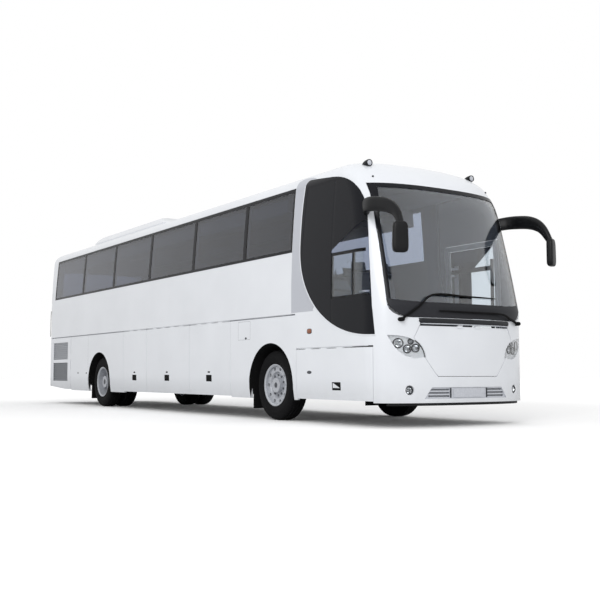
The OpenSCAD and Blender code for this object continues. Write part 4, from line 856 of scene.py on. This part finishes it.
def slidingPanes():
    # two flat-edged panes over the clear part, either side of the mullion
    d = driverPane
    rear, middle, ahead = d["paneGap"]
    low, high = d["sill"] + d["paneEnds"][0], d["rail"] - d["paneEnds"][1]
    spans = [(d["x0"] + rear, d["mullion"] - middle), (d["mullion"] + middle, d["x1"] - ahead)]
    return [between(np.linspace(*span, 12), low, high + np.zeros(12), -1, d["depth"]) for span in spans]


makePiece("driver_window_panes", slidingPanes(), "coach", doorGlass)
makePiece("driver_window_bars", [
    paneBar(d["x0"] - 0.02, d["rail"], d["x1"] - 0.20, d["rail"], 0.022),
    paneBar(d["x0"] - 0.02, d["sill"], d["x1"] - 0.10, d["sill"], 0.020),
    paneBar(d["mullion"], d["sill"], d["mullion"], d["rail"], 0.026),
    paneBar(d["x0"], d["sill"], d["x0"], d["rail"], 0.022)], "coach", blackPrint)
makePiece("driver_window_catch", [paneBar(d["mullion"] + 0.13, d["sill"] + 0.045, d["mullion"] + 0.30,
                                          d["sill"] + 0.045, 0.013)], "coach", plateBlank)


# Edge of the dark glass as it shows: frit over the top corner, paint over the lower rear edge.
shown = dict(rear=0.755, mid=2.450, power=2.15, split=1.570, middle=(axleX + 1.730, 2.300))
crown = np.concatenate([
    bend((2.00, 3.02), (1.83, 3.24), (1.36, 3.28), 40),
    bend((1.36, 3.28), (1.00, 3.32), (0.90, 3.33), 20)[1:],
    bend((0.90, 3.33), (0.80, 3.34), (0.79, 3.20), 16)[1:]]) + [axleX, 0]    # shoulder, head, rear corner
rearRun = bend((0.79, 3.20), (0.755, 2.95), (0.755, 2.60), 20)[1:] + [axleX, 0]


def shownEdge():
    # from the front of the crown back over the top corner, down the rear edge, round an ellipse to the foot
    q, s = quarter, shown
    f = np.linspace(math.pi / 2, 0, 80)
    x = q["seam"] - (q["seam"] - axleX - s["rear"]) * np.sin(f) ** (2 / s["power"])
    z = s["mid"] - (s["mid"] - q["low"]) * np.cos(f) ** (2 / s["power"])
    return np.concatenate([crown, rearRun, np.stack([x, z], axis=1)])


def polar(edge):
    # angle and reach of an edge about the middle of the window
    away = edge - np.array(shown["middle"])
    return np.mod(np.arctan2(away[:, 1], away[:, 0]), 2 * math.pi), np.hypot(away[:, 0], away[:, 1])


level = np.linspace(frontX - 1.250, quarter["rear"] + quarter["corner"], 20)[1:-1]
glassEdge = polar(np.concatenate([frontEdge[29::-1], np.stack([level, 0 * level + quarter["top"]], axis=1),
                                  quarterRear(90)]))
showEdge = polar(shownEdge())


def edgeSheet(t0, t1, side, proud, paint):
    # thin closed sheet between the glass's own edge and the edge that shows, over a range of angles
    t = np.linspace(t0, t1, 90)
    own, show = np.interp(t, *glassEdge), np.interp(t, *showEdge)
    inner, outer = (show, np.maximum(own, show) + 0.012) if paint else (own - 0.012, np.maximum(own, show))
    r = inner + (outer - inner) * np.linspace(0, 1, 8)[:, None]
    x, z = shown["middle"][0] + r * np.cos(t), shown["middle"][1] + r * np.sin(t)
    return closedSheet(onSide(x, z, side, -proud), onSide(x, z, side, 0.001))


angles = np.linspace(math.radians(80), math.radians(290), 400)
wider = np.interp(angles, *showEdge) > np.interp(angles, *glassEdge)
turnAt = angles[np.nonzero(wider)[0].max()]    # where the shown edge crosses the glass's own
lower = len(crown) + len(rearRun)
splitAt = np.interp(shown["split"], shownEdge()[lower:, 1][::-1], showEdge[0][lower:][::-1])    # new paint


def quarterHighlightBead(side):
    # white half-round bead along the rear edge of the round-ended window: painted highlight for the bright
    # line on the glass edge
    edge = shownEdge()[len(crown) - 4:]
    path = skinPoint(edge[:, 0], edge[:, 1], side, 0.0022)
    return sweep(path, 0.008, 0.0035, 12, 2.2, up=(0, side, 0))


makePiece("quarter_frit", [edgeSheet(math.radians(76), turnAt, -1, 0.0010, False)], "coach", fritBlack)
makePiece("quarter_edge_silver", [edgeSheet(turnAt, splitAt, -1, 0.0014, True)], "coach", silver)
makePiece("quarter_edge_white", [edgeSheet(splitAt, math.radians(292), -1, 0.0014, True)], "coach", enamel)
# white bead on the window's rear edge: painted highlight
makePiece("quarter_trim_right", [quarterHighlightBead(-1)], "coach", enamel)
tipX = np.linspace(axleX + 0.56, axleX + 1.01, 40)
tipEdge = bend((0.56, 3.36), (0.70, 3.43), (1.01, 3.335), 60) + [axleX, 0]
tipLow = np.where(tipX < axleX + 0.80, 3.226, np.interp(tipX, *crown[::-1].T) - 0.002)
tipHigh = np.interp(tipX, *tipEdge.T)
makePiece("arc_tips", [between(tipX, tipLow, tipHigh, s, -0.0012) for side, s in bothSides], "coach", silver)

# Bonded edges of the side panes
frit = dict(low=(2.350, 2.392), top=(3.206, 3.246, 3.264), post=0.046,
            dividers=(-7.76, -6.04, -4.30, -2.52, -0.79))    # along from the front axle


def paneFrit(side, name):
    # black bands along the foot and head of the row of panes, over each joint and at both ends
    low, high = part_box(name)
    x = np.linspace(low.x - 0.006, high.x + 0.006, 60)
    head = np.linspace(frit["top"][1], frit["top"][2], 60)
    grids = [between(x, frit["low"][0], frit["low"][1] + 0 * x, side, -0.0012, 4),
             between(x, frit["top"][0], head, side, -0.0012, 8)]
    for at in [low.x + 0.014] + [axleX + d for d in frit["dividers"]] + [high.x - 0.014]:
        half = frit["post"] if low.x + 0.1 < at < high.x - 0.1 else 0.020
        post = np.linspace(at - half, at + half, 6)
        grids.append(between(post, frit["low"][0], frit["top"][1] + 0 * post, side, -0.0008, 30))
    return grids


for side, sign in bothSides:
    name = "side_glass_" + side
    makePiece("pane_frit_" + side, paneFrit(sign, name), "coach", fritBlack)

# Entrance door's glass
doorPrint = dict(rear=axleX + 1.475, slant=(2.150, 2.484), ahead=axleX + 1.955, edge=0.003, depth=0.0006)


def doorPrintGrids():
    # black print on the rear part of the door's glass and over a slanted line ahead of it
    p = doorPrint
    low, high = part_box("door_glass")
    xRear = np.linspace(low.x + p["edge"], p["rear"], 24)
    xAhead = np.linspace(p["rear"], high.x - p["edge"], 24)
    line = np.interp(xAhead, (p["rear"], p["ahead"]), p["slant"])
    top = high.z - p["edge"]
    return [between(xRear, low.z + p["edge"], top + 0 * xRear, 1, p["depth"]),
            between(xAhead, np.minimum(line, top - 0.002), top + 0 * xAhead, 1, p["depth"])]


makePiece("door_glass_print", doorPrintGrids(), "door_leaf", fritBlack)


def onScreen(y, z, inset):
    # point of the front at a depth inside the skin
    y, z = np.broadcast_arrays(y, z)
    return np.stack([noseX(y, z, inset), y, z], axis=-1)


def screenPrint():
    # black print on the windscreen: narrow strips up the sides and along the top
    s = screen
    z = np.linspace(s["bandTop"] - 0.05, s["top"] - 0.004, 50)[:, None]
    outer = s["half"] - 0.004 - 0.032 * np.clip((z - 1.56) / (s["top"] - 1.56), 0, 1)
    edge = s["edge"] * (1 + np.clip((z - 2.4) / 0.6, 0, 1) ** 2)
    grids = []
    for sign in (-1, 1):
        y = sign * (outer - edge * np.linspace(0, 1, 4))
        grids.append(closedSheet(onScreen(y, z, 0.0008), onScreen(y, z, 0.0018)))
    y = np.linspace(-1, 1, 60)[None] * (s["half"] - 0.036)
    z = np.linspace(s["top"] - 0.06, s["top"] - 0.004, 5)[:, None]
    return grids + [closedSheet(onScreen(y, z, 0.0010), onScreen(y, z, 0.0020))]


def screenBand():
    # black cowl film on the foot of the windscreen, its lower edge round at the corners like the glass,
    # its upper edge rising towards the corners; a thin closed sheet just outside the glass
    s = screen
    u, v = np.linspace(-1, 1, 90)[None], np.linspace(0, 1, 14)[:, None]
    y = u * (s["half"] - 0.003)
    reach = np.clip((np.abs(y) - (s["half"] - 0.270)) / 0.270, 0, 1)
    low = s["low"] + 0.003 + 0.160 * reach ** 2.2
    high = s["bandTop"] + s["bandRise"] * np.clip((np.abs(y) - 0.60) / 0.55, 0, 1) ** 2
    z = low + (np.maximum(high, low + 0.002) - low) * v
    y = np.broadcast_to(y, z.shape)
    return closedSheet(onScreen(y, z, 0.0005), onScreen(y, z, 0.0018))


makePiece("windscreen_print", screenPrint(), "coach", fritBlack)
makePiece("windscreen_band", [screenBand()], "coach", cowlFilm)
print("glass edges printed")

# Headlamps
lamps = dict(bowls=[(0.265, 1.035, 0.058), (0.370, 0.965, 0.050), (0.475, 0.975, 0.050),
                    (0.413, 1.055, 0.034)],
             fog=(0.380, 0.461, 0.050))    # in from the side, height, radius


def lampMouth(y, z, r, depth, n=48):
    # ring on the front at a depth behind the skin
    a = around(n)
    yy, zz = y + r * np.cos(a), z + r * np.sin(a)
    return np.stack([noseX(yy, zz, depth), yy, zz], axis=-1)


def reflector(y, z, r, depth, deep):
    # bowl: from the mouth on the skin the radius shrinks as the square root of the depth, to a flat base
    mouth = lampMouth(y, z, r, depth)
    u = np.linspace(0, 1, 16)[:, None, None]
    shrink = np.sqrt(1 - u * 0.9996)
    middle = np.array([0, y, z])
    base = float(noseX(y, z, depth)) - deep
    run = (mouth * (1 - u) + np.array([base, 0, 0]) * u) * [1, 0, 0]
    return (mouth * shrink + middle * (1 - shrink)) * [0, 1, 1] + run


def bezel(y, z, r, depth, thick):
    # round bead along the mouth of a bowl
    mouth = lampMouth(y, z, r, depth)
    c, s = np.cos(around(10)), np.sin(around(10))
    away = (mouth - [0, y, z]) * [0, 1, 1]
    away /= np.linalg.norm(away, axis=1, keepdims=True)
    ring = away[:, None] * c[None, :, None] + np.array([1.0, 0, 0]) * s[None, :, None]
    return mouth[:, None] + thick * ring


bulb = [(0, 0.034), (0.006, 0.032), (0.009, 0.026), (0.010, 0.010), (0.012, 0)]    # radius, run
bowls, rings, bulbs = [], [], []
for side, sign in bothSides:
    for inset, z, r in lamps["bowls"]:
        y = sign * (halfWidth - inset)
        bowls.append(reflector(y, z, r * 0.86, 0.020, 0.050))
        rings.append(bezel(y, z, r * 0.94, 0.0185, 0.0075))
        bulbs.append(turned((float(noseX(y, z, 0.020)) - 0.046, y, z), (1, 0, 0), bulb, 20))
    inset, z, r = lamps["fog"]
    y = sign * (halfWidth - inset)
    bowls.append(reflector(y, z, r * 0.80, 0.018, 0.040))
    rings.append(bezel(y, z, r * 0.92, 0.012, 0.0085))
    bulbs.append(turned((float(noseX(y, z, 0.018)) - 0.036, y, z), (1, 0, 0), bulb, 20))
makePiece("lamp_bowls", bowls, "coach", lampChrome)
makePiece("lamp_bezels", rings, "coach", bezelGrey)
makePiece("lamp_bulbs", bulbs, "coach", bulbGlass)
print("headlamps fitted")

# Front trim
front = dict(stripZ=1.312, stripHalf=0.768, lipZ=1.277, grilleZ=0.4255, grilleHalf=halfWidth - 0.577,
             plate=(0.262, 0.056), divider=0.306, chinZ=0.292)


def noseBar(yHalf, z, out, wide, tall, power=2.6, endTaper=0.0):
    # bar along the nose with a superellipse section, its ends shrinking as a quarter ellipse
    y = np.linspace(-yHalf, yHalf, 80)
    if endTaper:
        reach = np.clip((np.abs(y) - yHalf + endTaper) / endTaper, 0, 0.995)
        shrink = np.sqrt(np.clip(1 - reach ** 2, 0, 1))
    else:
        shrink = np.ones_like(y)
    return sweep(nosePoint(y, z, out), wide * shrink, tall * shrink, 24, power)


def nosePost(y, z0, z1, out, wide, tall):
    # upright bar on the nose
    z = np.linspace(z0, z1, 8)
    return sweep(nosePoint(np.full(8, y), z, out), wide, tall, 12, 4, up=(1, 0, 0))


f = front
makePiece("scuttle_bar", [noseBar(f["stripHalf"], f["stripZ"], 0.002, 0.022, 0.034, 2.8, 0.05)], "coach",
          blackGloss, ["scuttle_strip"])
makePiece("scuttle_lip", [noseBar(f["stripHalf"] - 0.02, f["lipZ"], 0.004, 0.020, 0.007, 3, 0.05)], "coach",
          grillePaint)
backing = noseBar(f["grilleHalf"] - 0.03, f["grilleZ"], -0.037, 0.002, 0.062, 10)
makePiece("grille_backing", [backing], "coach", grilleGrey)
makePiece("blank_plate", [noseBar(f["plate"][0], f["grilleZ"], -0.0045, 0.002, f["plate"][1], 12)], "coach",
          plateBlank)
dividers = [nosePost(s * f["divider"], 0.366, 0.486, -0.007, 0.012, 0.003) for s in (-1, 1)]
makePiece("grille_dividers", dividers, "coach", bezelGrey)
makePiece("chin_lip", [noseBar(halfWidth - 0.16, f["chinZ"], -0.045, 0.012, 0.022, 4)], "coach", blackSeal)
browNozzle = dict(y=0.994, z=3.189, r=0.014)
makePiece("brow_nozzles", [dome(nosePoint(s * browNozzle["y"], browNozzle["z"]), (0, 1, 0), (0, 0, 1),
                                browNozzle["r"], browNozzle["r"], 0.012) for s in (-1, 1)],
          "coach", blackShell)
print("front trimmed")

# Roof and side lamps
roofLamp = dict(x=frontX - 0.893, y=halfWidth - 0.368, z=3.414,
                shell=[(0, -0.105), (0.016, -0.098), (0.030, -0.072), (0.041, -0.035), (0.046, 0.005),
                       (0.047, 0.040), (0.044, 0.050), (0.041, 0.050), (0.039, 0.038), (0, 0.036)],
                lens=[(0, 0.056), (0.018, 0.054), (0.032, 0.048), (0.039, 0.040), (0.039, 0.037),
                      (0, 0.037)])    # radius, run
marker = dict(xs={-1: frontX - 1.720, 1: frontX - 1.913}, z=1.232, lens=(0.052, 0.030), base=(0.060, 0.036))
shells, lenses, bases, markers = [], [], [], []
for side, sign in bothSides:
    at = np.array([roofLamp["x"], sign * roofLamp["y"], roofLamp["z"]])
    shells.append(turned(at, (1, 0, 0.02), roofLamp["shell"]))
    shells.append(sweep(at + np.array([[-0.015, 0, -0.075], [-0.012, 0, -0.05], [-0.010, 0, -0.02]]),
                        [0.040, 0.034, 0.030], [0.055, 0.046, 0.040], 20, 2.4, up=(1, 0, 0)))
    lenses.append(turned(at, (1, 0, 0.02), roofLamp["lens"]))
    at = (marker["xs"][sign], marker["z"], sign)
    bases.append(sideDome(*at, *marker["base"], 0.005, power=3))
    markers.append(sideDome(*at, *marker["lens"], 0.012, 0.002, power=2.6))
makePiece("side_marker_lenses", markers, "coach", amber, ["marker_lamps"])
makePiece("side_marker_bases", bases, "coach", bezelGrey)
makePiece("roof_lamp_shells", shells, "coach", blackShell)
makePiece("roof_lamp_lenses", lenses, "coach", plateBlank)
print("lamps set")

# Seals, locks and seams along the sides
seal = dict(waistZ=1.4815, serviceZ=1.006, inset=0.005, size=(0.0025, 0.0045), gapHalf=0.0018,
            gapDepth=0.012)
lock = dict(flapZ=0.690, size=(0.030, 0.017), flapSize=(0.045, 0.013),
            plain=[(rearX - 1.214, 0.679), (rearX - 0.717, 0.678)],
            service=(axleX + 1.008, 0.681), fuel=(axleX - 0.700, 1.190))
seam = dict(rear=rearX - 0.630, fuel=(axleX - 0.930, axleX - 0.570, 1.170, 1.440), half=0.0016,
            proud=0.0004)


def longSeal(x0, x1, z, side):
    # slim rounded strip along the coach, just inside the skin
    y = side * (halfWidth - seal["inset"])
    return sweep([(x0, y, z), ((x0 + x1) / 2, y, z), (x1, y, z)], *seal["size"], 12, 3)


def gapSeal(x, z0, z1, side):
    # slim upright strip deep in the gap between two flaps
    z = np.linspace(z0, z1, 14)
    path = np.stack([np.full(14, x), side * (halfAt(z) - seal["gapDepth"]), z], axis=-1)
    return sweep(path, 0.004, seal["gapHalf"], 10, 3, up=(1, 0, 0))


def seamLine(points, side):
    # thin bead of sealer along straight runs on the skin
    p = np.asarray(points, float)
    grids = []
    for a, b in zip(p[:-1], p[1:]):
        run = a + (b - a) * np.linspace(0, 1, 10)[:, None]
        path = skinPoint(run[:, 0], run[:, 1], side, seam["proud"] - 0.0008)
        level = abs(b[1] - a[1]) < 0.01
        grids.append(sweep(path, 0.0008, seam["half"], 8, 3, up=(0, 0, 1) if level else (1, 0, 0)))
    return grids


sealGrids, seamGrids, sideLocks = [], [], []
for side, sign in bothSides:
    boxes = [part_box("luggage_flap_%s_%d" % (side, k)) for k in (1, 2, 3)]
    edges = [boxes[0][0].x - 0.003] + [(a[1].x + b[0].x) / 2 for a, b in zip(boxes, boxes[1:])]
    edges.append(boxes[2][1].x + 0.003)
    sealGrids.append(longSeal(tailX + 0.190, axleX + 0.555, seal["waistZ"], sign))
    sealGrids += [gapSeal(x, 0.335, 1.455, sign) for x in edges]
    seamGrids += seamLine([(seam["rear"], 0.335), (seam["rear"], 1.455)], sign)
    x0, x1, z0, z1 = seam["fuel"]
    if side == "right":
        seamGrids += seamLine([(x0, z0), (x1, z0), (x1, z1), (x0, z1), (x0, z0)], sign)
        sideLocks.append(sideDome(*lock["fuel"], sign, *lock["size"], 0.004))
    sideLocks += [sideDome(x, z, sign, *lock["size"], 0.004) for x, z in lock["plain"]]
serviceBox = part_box("service_flap")
sealGrids.append(longSeal(serviceBox[0].x + 0.004, serviceBox[1].x - 0.06, seal["serviceZ"], -1))
makePiece("flap_seals", sealGrids, "coach", paleSeal)
makePiece("panel_seams", seamGrids, "coach", lockSteel)
makePiece("side_locks", sideLocks, "coach", lockSteel)
for node in flaps:
    low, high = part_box(node)
    sign = 1 if "left" in node else -1
    middle = (low.x + high.x) / 2
    makePiece(node + "_lock", [sideDome(middle, lock["flapZ"], sign, *lock["flapSize"], 0.004)],
              bodyOf[node], blackLatch)
makePiece("service_flap_lock", [sideDome(*lock["service"], -1, 0.055, 0.022, 0.005)], "service_flap",
          lockSteel)


def grillePlate(z0, z1, side):
    # thin rounded plate behind the slats
    y = side * (halfWidth - 0.034)
    z = (z0 + z1) / 2
    path = [(cornerGrille["x0"] - 0.006, y, z), (cornerGrille["x1"] + 0.006, y, z)]
    return sweep(path, 0.0015, (z1 - z0) / 2 + 0.004, 24, 14)


for side, sign, body in (("right", -1, "radiator_door"), ("left", 1, "coach")):
    for name, zs, material in zip(("low", "high"), cornerGrille["zs"], (grilleGrey, grillePale)):
        makePiece("corner_mesh_%s_%s" % (name, side), [grillePlate(*zs, sign)], body, material)
print("sides trimmed")

# Tail
tail = dict(lampY=halfWidth - 0.195, lampZs=(1.000, 1.180, 1.360), lampR=0.060, plate=(0.250, 0.056, 0.895),
            edge=(tailX + 0.075, 1.520, 2.110))


def tailDome(y, z, a, b, high, out=0.0, power=2.0):
    # dome that stands out of the tail
    return dome((tailX - out, y, z), (0, -1, 0), (0, 0, 1), a, b, high, power=power)


reds = [tailDome(s * tail["lampY"], z, tail["lampR"], tail["lampR"], 0.012, -0.002) for s in (-1, 1)
        for z in (tail["lampZs"][0], tail["lampZs"][2])]
ambers = [tailDome(s * tail["lampY"], tail["lampZs"][1], tail["lampR"], tail["lampR"], 0.012, -0.002)
          for s in (-1, 1)]
hoops = [hoop((tailX, s * tail["lampY"], z), (1, 0, 0), tail["lampR"] + 0.002, 0.0055) for s in (-1, 1)
         for z in tail["lampZs"]]
makePiece("tail_lenses", reds, "coach", redLens, ["tail_lamps"])
makePiece("tail_turn_lenses", ambers, "coach", amber)
makePiece("tail_bezels", hoops, "coach", lampChrome)
plateWide, plateTall, plateZ = tail["plate"]
makePiece("tail_plate", [tailDome(0, plateZ, plateWide, plateTall, 0.001, -0.006, 14)], "engine_lid",
          plateBlank)
x, z0, z1 = tail["edge"]
edgeZ = np.linspace(z0, z1, 16)
strips = [sweep(skinPoint(np.full(16, x), edgeZ, s, 0.0005), 0.003, 0.011, 12, 4, up=(1, 0, 0))
          for s in (-1, 1)]
makePiece("tail_edge_strips", strips, "coach", blackSeal)
low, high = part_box("tail_glass")
y, z = roundPower(around(96), 9)
halfY, halfZ = (high.y - low.y) / 2, (high.z - low.z) / 2
rim = np.stack([np.full(97, tailX - 0.001), halfY * y, (low.z + high.z) / 2 + halfZ * z], axis=-1)
makePiece("tail_glass_rubber", [sweep(rim, 0.012, 0.005, 12, 3, up=(1, 0, 0))], "coach", blackSeal)
print("tail trimmed")

# Roof
roof = dict(fanXs=(rearX - 0.850, rearX - 0.050, rearX + 0.750), guards=(0.09, 0.155, 0.22, 0.285),
            dish=[(0, 0.004), (0.06, 0.0045), (0.28, 0.003), (0.292, 0.001), (0.292, -0.006), (0, -0.006)],
            hatchXs=(axleX - 3.183, axleX - 0.400), hatch=(0.318, 0.348))


def unitTop(x):
    # height of the roof unit's top, straight between its two break lines
    return 3.680 + 0.040 * np.clip((x - rearX + 1.390) / 2.440, 0, 1)


def fanGrids(x):
    # ring guards over a fan's dish, and spokes across them
    z = float(unitTop(x))
    at = (x, 0, z)
    spokes = [sweep(np.array(at) + np.array([[c * 0.02, s * 0.02, 0.007], [c * 0.15, s * 0.15, 0.008],
                                             [c * 0.286, s * 0.286, 0.006]]), 0.004, 0.002, 8, 2)
              for c, s in zip(np.cos(around(8)[:-1]), np.sin(around(8)[:-1]))]
    return [hoop((x, 0, z + 0.007), (0, 0, 1), r, 0.0035) for r in roof["guards"]] + spokes


dishes = [turned((x, 0, float(unitTop(x))), (0, 0, 1), roof["dish"]) for x in roof["fanXs"]]
makePiece("fan_dishes", dishes, "coach", blackLatch)
makePiece("fan_guards", [g for x in roof["fanXs"] for g in fanGrids(x)], "coach", lockSteel)
lids = [dome((x, 0, skin["roofZ"] + 0.045), (1, 0, 0), (0, 1, 0), *roof["hatch"], 0.022, 0.006, 7)
        for x in roof["hatchXs"]]
makePiece("hatch_lids", lids, "coach", lidPlastic)
print("roof fitted")

# Seats
seat = dict(pitch=0.760, wide=0.438, pair=0.450, floor=1.300, platform=0.850, side=halfWidth - 0.130,
            rows=12, firstRow=axleX + 0.060, driver=(frontX - 1.500, -halfWidth + 0.570), fill=0.7)


def padGrid(half, thick, crown, channels, nu=18, nv=18):
    # crowned pad: an outline whose sides pull in between the corners, its thickness falling to the seam at
    # the edge, with sewn channels as shallow dips across it; returned as an upper and a lower sheet
    gu, gv = np.meshgrid(np.linspace(-1, 1, nu), np.linspace(-1, 1, nv), indexing="ij")
    pull = 0.030
    px = half[0] * gu * (1 - pull * (1 - gv ** 2))
    py = half[1] * gv * (1 - pull * (1 - gu ** 2))
    edge = np.clip((1 - gu ** 6) * (1 - gv ** 6), 0, 1) ** 0.5
    bulge = (1 - gu ** 2) * (1 - gv ** 2)
    dips = sum((0.010 * np.exp(-((gu - c) / 0.035) ** 2) for c in channels), np.zeros_like(gu)) * edge
    top = np.stack([px, py, thick * edge + crown * bulge - dips], axis=-1)
    under = np.stack([px, py, -thick * edge], axis=-1)
    return top, under


def place(grid, origin, axisX, axisZ):
    # pad's own x and z turned to the given directions, y across the coach
    x, z = np.asarray(axisX, float), np.asarray(axisZ, float)
    across = np.array([0, 1.0, 0])
    return np.asarray(origin, float) + grid[..., :1] * x + grid[..., 1:2] * across + grid[..., 2:] * z


def seatPads(origin, wide):
    # cushion nearly level; back leaning; head pad on top of the back
    o = np.asarray(origin, float)
    half = wide / 2
    lean, face = np.array([-0.220, 0, 0.975]), np.array([0.975, 0, 0.220])
    flat, rise = np.array([0.998, 0, 0.045]), np.array([-0.045, 0, 0.998])
    cushion = padGrid((0.228, half), 0.048, 0.018, (-0.35, 0.2))
    back = padGrid((0.262, half), 0.042, 0.014, (-0.45, 0.0, 0.45))
    head = padGrid((0.080, half * 0.72), 0.036, 0.010, ())
    return ([place(g, o + [0.010, 0, 0.362], flat, rise) for g in cushion],
            [place(g, o + [-0.236, 0, 0.706], lean, face) for g in back]
            + [place(g, o + [-0.322, 0, 1.040], lean, face) for g in head])


def seatFeet(origin, wide, deep=0.305):
    # pedestal tubes and a cross bar on each side under a seat or a pair
    o = np.asarray(origin, float)
    grids = []
    for y in (-wide * 0.55, wide * 0.55):
        for x in (-0.11, 0.11):
            post = np.array([[x, y, 0.0], [x, y, 0.15], [x, y, deep + 0.005]])
            grids.append(sweep(o + post, 0.018, 0.018, 8, 2, up=(1, 0, 0)))
        bar = np.array([[-0.16, y, deep], [0, y, deep], [0.16, y, deep]])
        grids.append(sweep(o + bar, 0.02, 0.012, 8, 3))
    return grids


cushions, backs, feet = [], [], []
spots = [((seat["firstRow"] - row * seat["pitch"], sign * (seat["side"] - k * seat["pair"]), seat["floor"]))
         for row in range(seat["rows"]) for sign in (-1, 1) for k in (0.5, 1.5)]
driverAt = (*seat["driver"], seat["platform"])
for spot in spots + [driverAt]:
    pads = seatPads(spot, seat["wide"])
    cushions += pads[0]
    backs += pads[1]
for row in range(seat["rows"]):
    for sign in (-1, 1):
        x, y = seat["firstRow"] - row * seat["pitch"], sign * (seat["side"] - seat["pair"])
        feet += seatFeet((x, y, seat["floor"]), seat["pair"])
feet += seatFeet(driverAt, 0.2)
pads = makePiece("seat_pads", cushions, "coach", seatCloth, ["seat_cushions"], sharp=60)
pads = makePiece("seat_back_pads", backs, "coach", seatCloth, ["seat_backs"], sharp=60)
makePiece("seat_feet", feet, "coach", blackPaint)
print("seats padded")

# Stage, light and camera
stageLook = dict(size=160.0, floorHex="#ffffff", bounceHex="#d6d6d6", worldLevel=0.88, lampWatts=980.0,
                 lampSize=9.0, lampAt=(14.5, -11.0, 9.0), fade=(7.0, 13.0), glow=(0.04, 0.25))


def stage():
    # flat floor, white to the camera, with a little glow far off so that no horizon shows, and pale grey to
    # the light that it throws back; a large soft lamp at the front right
    material, tree, shader, place = newMaterial("paleFloor")
    seen = add(tree, "LightPath").outputs["Is Camera Ray"]
    tone = ramp(tree, seen, [(0.0, linear(stageLook["bounceHex"])), (1.0, linear(stageLook["floorHex"]))])
    tree.links.new(tone, shader.inputs["Base Color"])
    shader.inputs["Roughness"].default_value = 0.95
    shader.inputs["Specular IOR Level"].default_value = 0.0
    far = add(tree, "VectorMath", {0: place}, operation="LENGTH").outputs["Value"]
    (near, end), (least, most) = stageLook["fade"], stageLook["glow"]
    limits = {"Value": far, "From Min": near, "From Max": end, "To Min": least, "To Max": most}
    away = add(tree, "MapRange", limits).outputs[0]
    glow = add(tree, "Math", {0: seen, 1: away}, operation="MULTIPLY")
    shader.inputs["Emission Color"].default_value = (1, 1, 1, 1)
    tree.links.new(glow.outputs[0], shader.inputs["Emission Strength"])
    s = stageLook["size"] / 2
    mesh = bpy.data.meshes.new("floor")
    mesh.from_pydata([(-s, -s, 0), (s, -s, 0), (s, s, 0), (-s, s, 0)], [], [(0, 1, 2, 3)])
    mesh.materials.append(material)
    floor = bpy.data.objects.new("floor", mesh)
    bpy.context.scene.collection.objects.link(floor)

    world = bpy.data.worlds.new("paleSky")
    bpy.context.scene.world = world
    world.use_nodes = True
    sky = world.node_tree
    sky.nodes.clear()
    path = add(sky, "LightPath")
    rays = [path.outputs["Is %s Ray" % kind] for kind in ("Camera", "Glossy", "Transmission")]
    seen = add(sky, "Math", {0: rays[0], 1: rays[1]}, operation="MAXIMUM").outputs[0]
    seen = add(sky, "Math", {0: seen, 1: rays[2]}, operation="MAXIMUM").outputs[0]
    level = add(sky, "MapRange", {"Value": seen, "To Min": stageLook["worldLevel"], "To Max": 1.0})
    back = add(sky, "Background", {"Color": (1, 1, 1, 1), "Strength": level.outputs[0]})
    add(sky, "OutputWorld", {"Surface": back.outputs[0]})

    lamp = bpy.data.lights.new("softLamp", "AREA")
    lamp.shape = "DISK"
    lamp.size = stageLook["lampSize"]
    lamp.energy = stageLook["lampWatts"]
    holder = bpy.data.objects.new("softLamp", lamp)
    holder.location = stageLook["lampAt"]
    holder.rotation_mode = "QUATERNION"
    holder.rotation_quaternion = (Vector((0, 0, 1.5)) - holder.location).to_track_quat("-Z", "Y")
    bpy.context.scene.collection.objects.link(holder)


def camera():
    # the photograph's own viewpoint, found from wheel, skirt and window lines
    view = dict(place=(axleX + 11.284, -8.164, 0.662), yaw=2.561, pitch=0.080, lens=55.2)
    data = bpy.data.cameras.new("photoView")
    data.lens = view["lens"]
    data.sensor_width = 36
    data.clip_end = 400
    holder = bpy.data.objects.new("photoView", data)
    holder.location = view["place"]
    ahead = Vector((math.cos(view["yaw"]) * math.cos(view["pitch"]),
                    math.sin(view["yaw"]) * math.cos(view["pitch"]), math.sin(view["pitch"])))
    holder.rotation_mode = "QUATERNION"
    holder.rotation_quaternion = ahead.to_track_quat("-Z", "Y")
    bpy.context.scene.collection.objects.link(holder)
    bpy.context.scene.camera = holder


stage()
camera()
bpy.context.scene.view_settings.view_transform = "Standard"
print("stage set")
